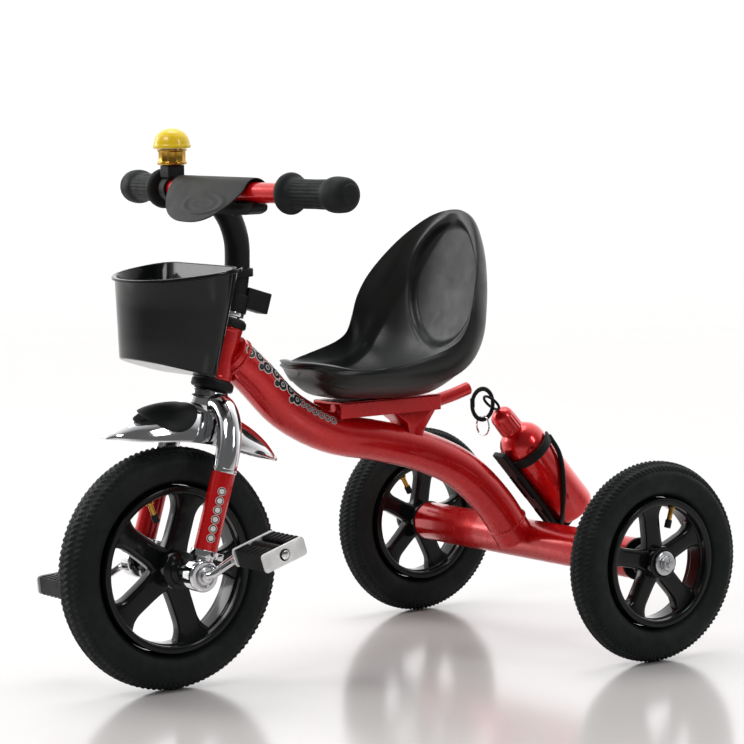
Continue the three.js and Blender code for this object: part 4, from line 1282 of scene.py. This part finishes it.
def seat_faces(edge, place):
    """How far the two faces stand from the surface.

    The upper face rises into the rolled edge and dips in an oval recess in the backrest,
    which has a low ridge round it. The lower face has a step where the rolled edge ends
    and comes down to a flat bottom over the channel.
    """
    oval = np.hypot(place[..., 0] / RECESS_HALF[0], (place[..., 2] - RECESS_Z) / RECESS_HALF[1])
    behind = smooth_rise(place[..., 1], -212, -200)
    dish = smooth_rise(-oval, -1.02, -0.9) * behind
    ridge = np.exp(-(((oval - 1.05) / 0.045) ** 2)) * behind
    roll = smooth_rise(edge, 0.8, 0.93)
    upper = edge + SEAT_ROLL * roll + SEAT_RIDGE * ridge - sizes().seat_recess * 1000 * dish
    lower = 5 * edge - SEAT_WALL - SEAT_STEP * smooth_rise(edge, 0.8, 0.83)
    bottom = smooth_rise(-np.abs(place[..., 0]), -96, -22) * smooth_rise(-place[..., 1], 172, 215)
    bottom = bottom * smooth_rise(place[..., 1], -372, -306)
    flat = np.minimum(lower, CHANNEL_TOP + 1.2 - place[..., 2])
    return lower + (flat - lower) * bottom, upper


class TRIKE_OT_seat(bpy.types.Operator):
    """The seat: one moulded bucket with a rolled edge and an oval recess in its back"""

    bl_idname = "trike.seat"
    bl_label = "Seat"

    def execute(self, context):
        bucket = [cushion(seat_surface, seat_faces, 420, 200, 0.56)]
        make("seat_bucket", "seat", "seat_plastic", bucket, "seat", crease=60)
        return {"FINISHED"}


class TRIKE_OT_seat_support(bpy.types.Operator):
    """The seat's support: a channel on a round rail, a tapered bracket and screws"""

    bl_idname = "trike.seat_support"
    bl_label = "Seat support"

    def execute(self, context):
        channel = [brick(62, 156, 3, shift(0, CHANNEL_Y, CHANNEL_TOP - 1.5), 0.8, 4)]
        channel += [
            brick(3, 156, 20, shift(x, CHANNEL_Y, CHANNEL_TOP - 10), 0.8, 1) for x in (29.5, -29.5)
        ]
        make("seat_channel_body", "seat", "enamel", channel, "seat_channel")
        rail = [(0, -312, 324), (0, -240, 324), (0, -150, 324), (0, -124, 329), (0, -98, 336)]
        side = softened_loop(
            [(-232, 317), (-160, 323), (-184, 290), (-189, 274), (-205, 274), (-210, 301)], 2, 4
        )
        upright = np.array([[0, 0, 1, 0], [1, 0, 0, 0], [0, 1, 0, 0], [0, 0, 0, 1]], float)
        post = [pipe(spline(rail, 60), RAIL_R, 36), slab(side, -20, 20, upright, 0.9)]
        make("seat_post_body", "frame", "enamel", post, "seat_post")
        bolts = []
        for y in (-292, -192):
            for x in (-18, 18):
                at = shift(x, y, CHANNEL_TOP - 3.1) @ spin("X", 180)
                bolts += [hexagon(8, 0.6, 5, at), rod(6.2, 0, 1, at, 0.3, 32)]
        make("seat_bolts", "seat", "zinc", bolts)
        return {"FINISHED"}


# ---- bottle
class TRIKE_OT_bottle(bpy.types.Operator):
    """The bottle: a lacquered body with a shoulder, a ribbed cap, its loop, clip and ring"""

    bl_idname = "trike.bottle"
    bl_label = "Bottle"

    def execute(self, context):
        body = [lathe("bottle", BOTTLE, 96)]
        make("bottle_body", "bottle", "lacquer", body, "bottle")
        cap = [ribbed(named_profile("cap"), BOTTLE, 18, 0.05, 95, 118)]
        make("bottle_cap_body", "bottle", "lacquer", cap, "bottle_cap")
        loop = [doughnut(LOOP_R, LOOP_THICK, BOTTLE @ shift(0, 0, LOOP_HEIGHT) @ spin("X", 90))]
        make("cap_loop_body", "bottle", "satin_black", loop, "cap_loop")
        oval = shift(0, CLIP_Y, CLIP_Z) @ np.diag([1, 1, CLIP_STRETCH, 1])
        clip = [
            doughnut(CLIP_R, CLIP_THICK, oval @ ABOUT_X @ spin("Z", 90)),
            rod(3.1, -6, 6, shift(0, CLIP_Y - CLIP_R + 0.6, CLIP_Z + 3), 0.6, 24),
        ]
        make("clip_body", "clip", "satin_black", clip, "clip")
        rings = []
        for gap in (-0.7, 0.7):
            at = shift(0, CLIP_Y + gap, CLIP_Z - RING_DROP) @ spin("X", 90)
            rings.append(doughnut(RING_R, RING_THICK, at, 72, 10))
        make("split_ring_body", "clip", "chrome", rings, "split_ring", "steel")
        return {"FINISHED"}


class TRIKE_OT_cage(bpy.types.Operator):
    """The bottle cage: a backing plate, a band round the bottle, two arms and a foot"""

    bl_idname = "trike.cage"
    bl_label = "Bottle cage"

    def execute(self, context):
        near = BOTTLE_R + 0.9
        a = np.radians(np.linspace(-228, 48, 90))
        band = polar(near + 2, a, 58.5)
        parts = [swept(moved(band, BOTTLE), stadium(28, 6.5, 1.9, 0.5), tuple(BOTTLE[:3, 2]))]
        parts.append(brick(24, 7, 150, BOTTLE @ shift(0, -(near + 4.4), 9), 1.2, 2))
        parts.append(brick(24, 40, 4, BOTTLE @ shift(0, -(near + 8) + 20, -63.2), 1.0, 5))
        for k in (-1, 1):
            for row in (-38, 24):
                parts.append(brick(3, 3, 40, BOTTLE @ shift(k * 7, -(near + 8.2), row), 0.8, 1))
        for _, side in SIDES:
            path = spline(
                [
                    (side * 6, -(near + 3), -62), (side * 25, -(near - 6), -34),
                    (side * (near + 3.2), -4, 2), (side * 30, 20, 34), (side * 24, 26, 58),
                ],
                50,
            )
            parts.append(pipe(moved(path, BOTTLE), 3.2, 24, tuple(BOTTLE[:3, 1])))
        make("bottle_cage_body", "frame", "satin_black", parts, "bottle_cage")
        screws = [
            rod(3.6, -1.6, 0.3, BOTTLE @ shift(0, -(near + 0.6), z) @ spin("X", -90), 0.6, 24)
            for z in (44, -28)
        ]
        make("cage_screws", "frame", "zinc", screws)
        return {"FINISHED"}


# ---- printed film
FILM_BASE = 0.05
INKS = {"dark": "ink_black", "light": "ink_white"}
TUBE_LINE = spline(TUBE_POINTS, 400)
TUBE_REACH = lengths(TUBE_LINE)
TUBE_TANGENT = np.gradient(TUBE_LINE, TUBE_REACH, axis=0)


def film(centres, inner, outer, lift, radius, to_surface):
    """Flat rings, or discs where inner is 0, laid on a round surface.

    Each is a closed shell between two heights, a polar grid in arc length and angle.
    """
    if inner:
        reach, height = [inner, outer, outer, inner, inner], [0, 0, lift, lift, 0]
    else:
        reach, height = [0, outer, outer, 0], [0, 0, lift, lift]
    a = circle(48 if inner else 40)[None]
    r, h = np.array(reach)[:, None], np.maximum(height, FILM_BASE)[:, None]
    return [
        shell(to_surface(along + r * np.cos(a), turn + r * np.sin(a) / radius, h + 0 * a))
        for along, turn in centres
    ]


def on_tube(s, t, h):
    """A point on the main tube at arc length s, angle t from +X towards its upper side."""
    place = sampled(s, TUBE_REACH, TUBE_LINE)
    side = np.array([1.0, 0, 0])
    up = np.cross(side, sampled(s, TUBE_REACH, TUBE_TANGENT))
    up = np.where(up[..., 2:] < 0, -up, up)
    reach = (FRAME_R + h)[..., None]
    return place + reach * (np.cos(t)[..., None] * side + np.sin(t)[..., None] * up)


def on_sleeve(side):
    """A point on a fork sleeve at height s, angle t from its outer side."""

    def on_it(s, t, h):
        reach = SLEEVE_R + h
        points = np.stack([side * reach * np.cos(t), reach * np.sin(t), s], -1)
        return moved(points + (side * LEG_X, 0, 0), HEAD)

    return on_it


# which row of spots, the inner and outer radius of each and its height over the tube
DARK_SPOTS = (("big", 0, 7.2, 0.26), ("little", 0, 4.0, 0.3), ("small", 3.2, 5.0, 0.2))
LIGHT_SPOTS = (
    ("big", 7.2, 8.2, 0.2), ("big", 2.2, 3.2, 0.34), ("little", 4.0, 4.9, 0.18),
    ("small", 5.0, 5.8, 0.18), ("small", 2.4, 3.2, 0.24),
)


class TRIKE_OT_film(bpy.types.Operator):
    """Printed film: rows of plain dots and rings on the main tube and the fork sleeves"""

    bl_idname = "trike.film"
    bl_label = "Printed dots and rings"

    def execute(self, context):
        rows = {"big": [], "little": [], "small": []}
        for side, inward in ((0.62, 1), (math.pi - 0.62, -1)):
            rows["big"] += [(12 + 15.5 * i, side - inward * 0.1 * (-1) ** i) for i in range(7)]
            rows["little"] += [(19 + 15.5 * i, side + inward * 0.34 * (-1) ** i) for i in range(6)]
            rows["small"] += [(117 + 11 * i, side - inward * 0.05) for i in range(6)]
        for name, spots in (("dark", DARK_SPOTS), ("light", LIGHT_SPOTS)):
            shells = []
            for row, *ring in spots:
                shells += film(rows[row], *ring, FRAME_R, on_tube)
            make(f"tube_film_{name}", "frame", INKS[name], shells)
        row = [(46 + 11.5 * i, -0.35) for i in range(6)]
        for name, side in SIDES:
            spot = (SLEEVE_R, on_sleeve(side))
            dark = film(row, 3.3, 4.7, 0.2, *spot)
            light = film(row, 0, 3.3, 0.24, *spot) + film(row, 4.7, 5.3, 0.18, *spot)
            make(f"{name}_sleeve_film_dark", "fork", INKS["dark"], dark)
            make(f"{name}_sleeve_film_light", "fork", INKS["light"], light)
        return {"FINISHED"}


# ---- stage
# place, width and height in metres, and power in watts
LAMPS = {
    "key_lamp": ((0.4, -2.6, 3.0), (1.4, 1.0), 44),
    "side_lamp": ((3.2, 1.0, 2.2), (0.6, 1.6), 26),
    "top_lamp": ((-0.6, 0.4, 3.4), (1.6, 1.6), 24),
    "sheen_lamp": ((-2.6, -1.6, 1.6), (1.0, 1.6), 22),
}
AIM = (0, 0, 0.35)
# the surround is brightest where this direction points
BRIGHT_WAY = (-0.79, 0.56, 0.25)
BRIGHTNESS = {"From Min": -0.15, "From Max": 0.5, "To Min": 0.12, "To Max": 1.36}
CAMERA_AT = (3.22432, -2.25100, 0.76298)
CAMERA_YAW, CAMERA_PITCH, CAMERA_ROLL = np.radians([54.59, 5.59, -1.07])
# focal length and rise as shares of the view's width
FOCAL, RISE = 3123.65 / 744, -6 / 744
SENSOR = 36


def stand(name, data, right, up, back, at):
    """Adds a lamp or camera whose X, Y and Z axes point right, up and back."""
    made = bpy.data.objects.new(name, data)
    bpy.context.scene.collection.objects.link(made)
    matrix = np.eye(4)
    matrix[:3] = np.stack([right, up, back, at], -1)
    made.matrix_world = Matrix(matrix.tolist())
    return made


def softbox(name, at, size, power):
    """An area lamp aimed at the middle of the tricycle."""
    lamp = bpy.data.lights.new(name, "AREA")
    lamp.shape = "RECTANGLE"
    lamp.size, lamp.size_y = size
    lamp.energy = power
    back = unit(np.subtract(at, AIM))
    right = unit(np.cross((0, 0, 1), back))
    stand(name, lamp, right, np.cross(back, right), back, at)


def surround():
    """A white world, its strength a ramp over the cosine of the angle to one direction."""
    world = bpy.data.worlds.new("surround")
    world.use_nodes = True
    tree = world.node_tree
    way = tree.nodes.new("ShaderNodeTexCoord").outputs["Generated"]
    facing = tree.nodes.new("ShaderNodeVectorMath")
    facing.operation = "DOT_PRODUCT"
    facing.inputs[1].default_value = BRIGHT_WAY
    ramp = tree.nodes.new("ShaderNodeMapRange")
    for key, value in BRIGHTNESS.items():
        ramp.inputs[key].default_value = value
    background = tree.nodes["Background"]
    background.inputs["Color"].default_value = (1, 1, 1, 1)
    tree.links.new(way, facing.inputs[0])
    tree.links.new(facing.outputs["Value"], ramp.inputs["Value"])
    tree.links.new(ramp.outputs["Result"], background.inputs["Strength"])
    return world


class TRIKE_OT_stage(bpy.types.Operator):
    """The studio: a pale floor, soft lamps, a white surround and the camera"""

    bl_idname = "trike.stage"
    bl_label = "Studio"

    def execute(self, context):
        scene = context.scene
        reach = sizes().floor_size / 2
        mesh = bpy.data.meshes.new("floor")
        mesh.from_pydata(
            [(-reach, -reach, 0), (reach, -reach, 0), (reach, reach, 0), (-reach, reach, 0)],
            [], [(0, 1, 2, 3)],
        )
        mesh.materials.append(finish("floor"))
        floor = bpy.data.objects.new("floor", mesh)
        scene.collection.objects.link(floor)
        scene.world = surround()
        for name, (at, size, power) in LAMPS.items():
            softbox(name, at, size, power)
        camera = bpy.data.cameras.new("camera")
        camera.sensor_width = SENSOR
        camera.lens = FOCAL * SENSOR
        camera.shift_y = RISE
        camera.clip_end = 200
        level = math.cos(CAMERA_PITCH)
        back = np.array([
            math.sin(CAMERA_YAW) * level, -math.cos(CAMERA_YAW) * level, math.sin(CAMERA_PITCH)
        ])
        right = unit(np.cross(-back, (0, 0, 1)))
        up = np.cross(right, -back)
        cos, sin = math.cos(CAMERA_ROLL), math.sin(CAMERA_ROLL)
        scene.camera = stand(
            "camera", camera, right * cos + up * sin, up * cos - right * sin, back, CAMERA_AT
        )
        scene.view_settings.view_transform = "Standard"
        return {"FINISHED"}


# ---- settings and panel
def colour_setting(name, description, default):
    """A colour that the panel shows."""
    return FloatVectorProperty(
        name=name, description=description, default=default, size=3, min=0, max=1,
        subtype="COLOR",
    )


class TrikeColours(bpy.types.PropertyGroup):
    """The colours that a user would change."""

    enamel: colour_setting("Enamel", "Frame, bar and sleeves", (0.62, 0.003, 0.005))
    lacquer: colour_setting("Lacquer", "Bottle", (0.66, 0.004, 0.006))
    seat: colour_setting("Seat", "Seat moulding", (0.008, 0.0095, 0.009))
    satin: colour_setting("Satin black", "Small moulded parts", (0.006, 0.007, 0.007))
    gloss: colour_setting("Gloss black", "Basket and wheel centres", (0.006, 0.007, 0.007))
    cover: colour_setting("Bar cover", "Moulded cover on the bar", (0.02, 0.022, 0.02))
    tyre: colour_setting("Tyre", "Tyre rubber", (0.004, 0.0065, 0.0065))
    grip: colour_setting("Grip", "Handlebar grips", (0.005, 0.007, 0.0065))
    dome: colour_setting("Bell top", "Bell's domed top", (1.0, 0.62, 0.015))
    brass: colour_setting("Brass", "Bell drum and valves", (0.55, 0.31, 0.05))
    floor: colour_setting("Floor", "Studio floor", (0.68, 0.655, 0.645))


def length_setting(name, description, default, low, high):
    """A length in metres that the panel shows."""
    return FloatProperty(
        name=name, description=description, default=default, min=low, max=high,
        subtype="DISTANCE", unit="LENGTH",
    )


class TrikeSizes(bpy.types.PropertyGroup):
    """The sizes that a user would change."""

    tread_depth: length_setting("Tread depth", "Depth of the tread's grooves", 0.0016, 0, 0.003)
    tread_blocks: IntProperty(
        name="Tread blocks", description="Blocks round one tyre", default=116, min=40, max=160,
    )
    seat_recess: length_setting("Seat recess", "Depth of the backrest's oval", 0.0055, 0, 0.008)
    floor_size: length_setting("Floor size", "Length of each side of the floor", 400.0, 4, 1000)


PIECES = (
    TRIKE_OT_stage, TRIKE_OT_wheels, TRIKE_OT_frame, TRIKE_OT_axle, TRIKE_OT_headset,
    TRIKE_OT_fork, TRIKE_OT_fender, TRIKE_OT_pedals, TRIKE_OT_handlebar, TRIKE_OT_cover,
    TRIKE_OT_bell, TRIKE_OT_basket, TRIKE_OT_seat, TRIKE_OT_seat_support, TRIKE_OT_bottle,
    TRIKE_OT_cage, TRIKE_OT_film,
)


class TRIKE_PT_panel(bpy.types.Panel):
    """Lists the settings and the pieces"""

    bl_idname = "TRIKE_PT_panel"
    bl_label = "Tricycle"
    bl_space_type = "VIEW_3D"
    bl_region_type = "UI"
    bl_category = "Tricycle"

    def draw(self, context):
        column = self.layout.column()
        for group in (context.scene.trike_sizes, context.scene.trike_colours):
            for key in group.__annotations__:
                column.prop(group, key)
        for piece in PIECES:
            column.operator(piece.bl_idname)


CLASSES = (TrikeColours, TrikeSizes, *PIECES, TRIKE_PT_panel)


def register():
    for one in CLASSES:
        bpy.utils.register_class(one)
    bpy.types.Scene.trike_colours = PointerProperty(type=TrikeColours)
    bpy.types.Scene.trike_sizes = PointerProperty(type=TrikeSizes)


def unregister():
    del bpy.types.Scene.trike_sizes
    del bpy.types.Scene.trike_colours
    for one in reversed(CLASSES):
        bpy.utils.unregister_class(one)


def main():
    """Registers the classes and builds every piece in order."""
    register()
    for piece in PIECES:
        group, name = piece.bl_idname.split(".")
        getattr(getattr(bpy.ops, group), name)()


if __name__ == "__main__":
    main()
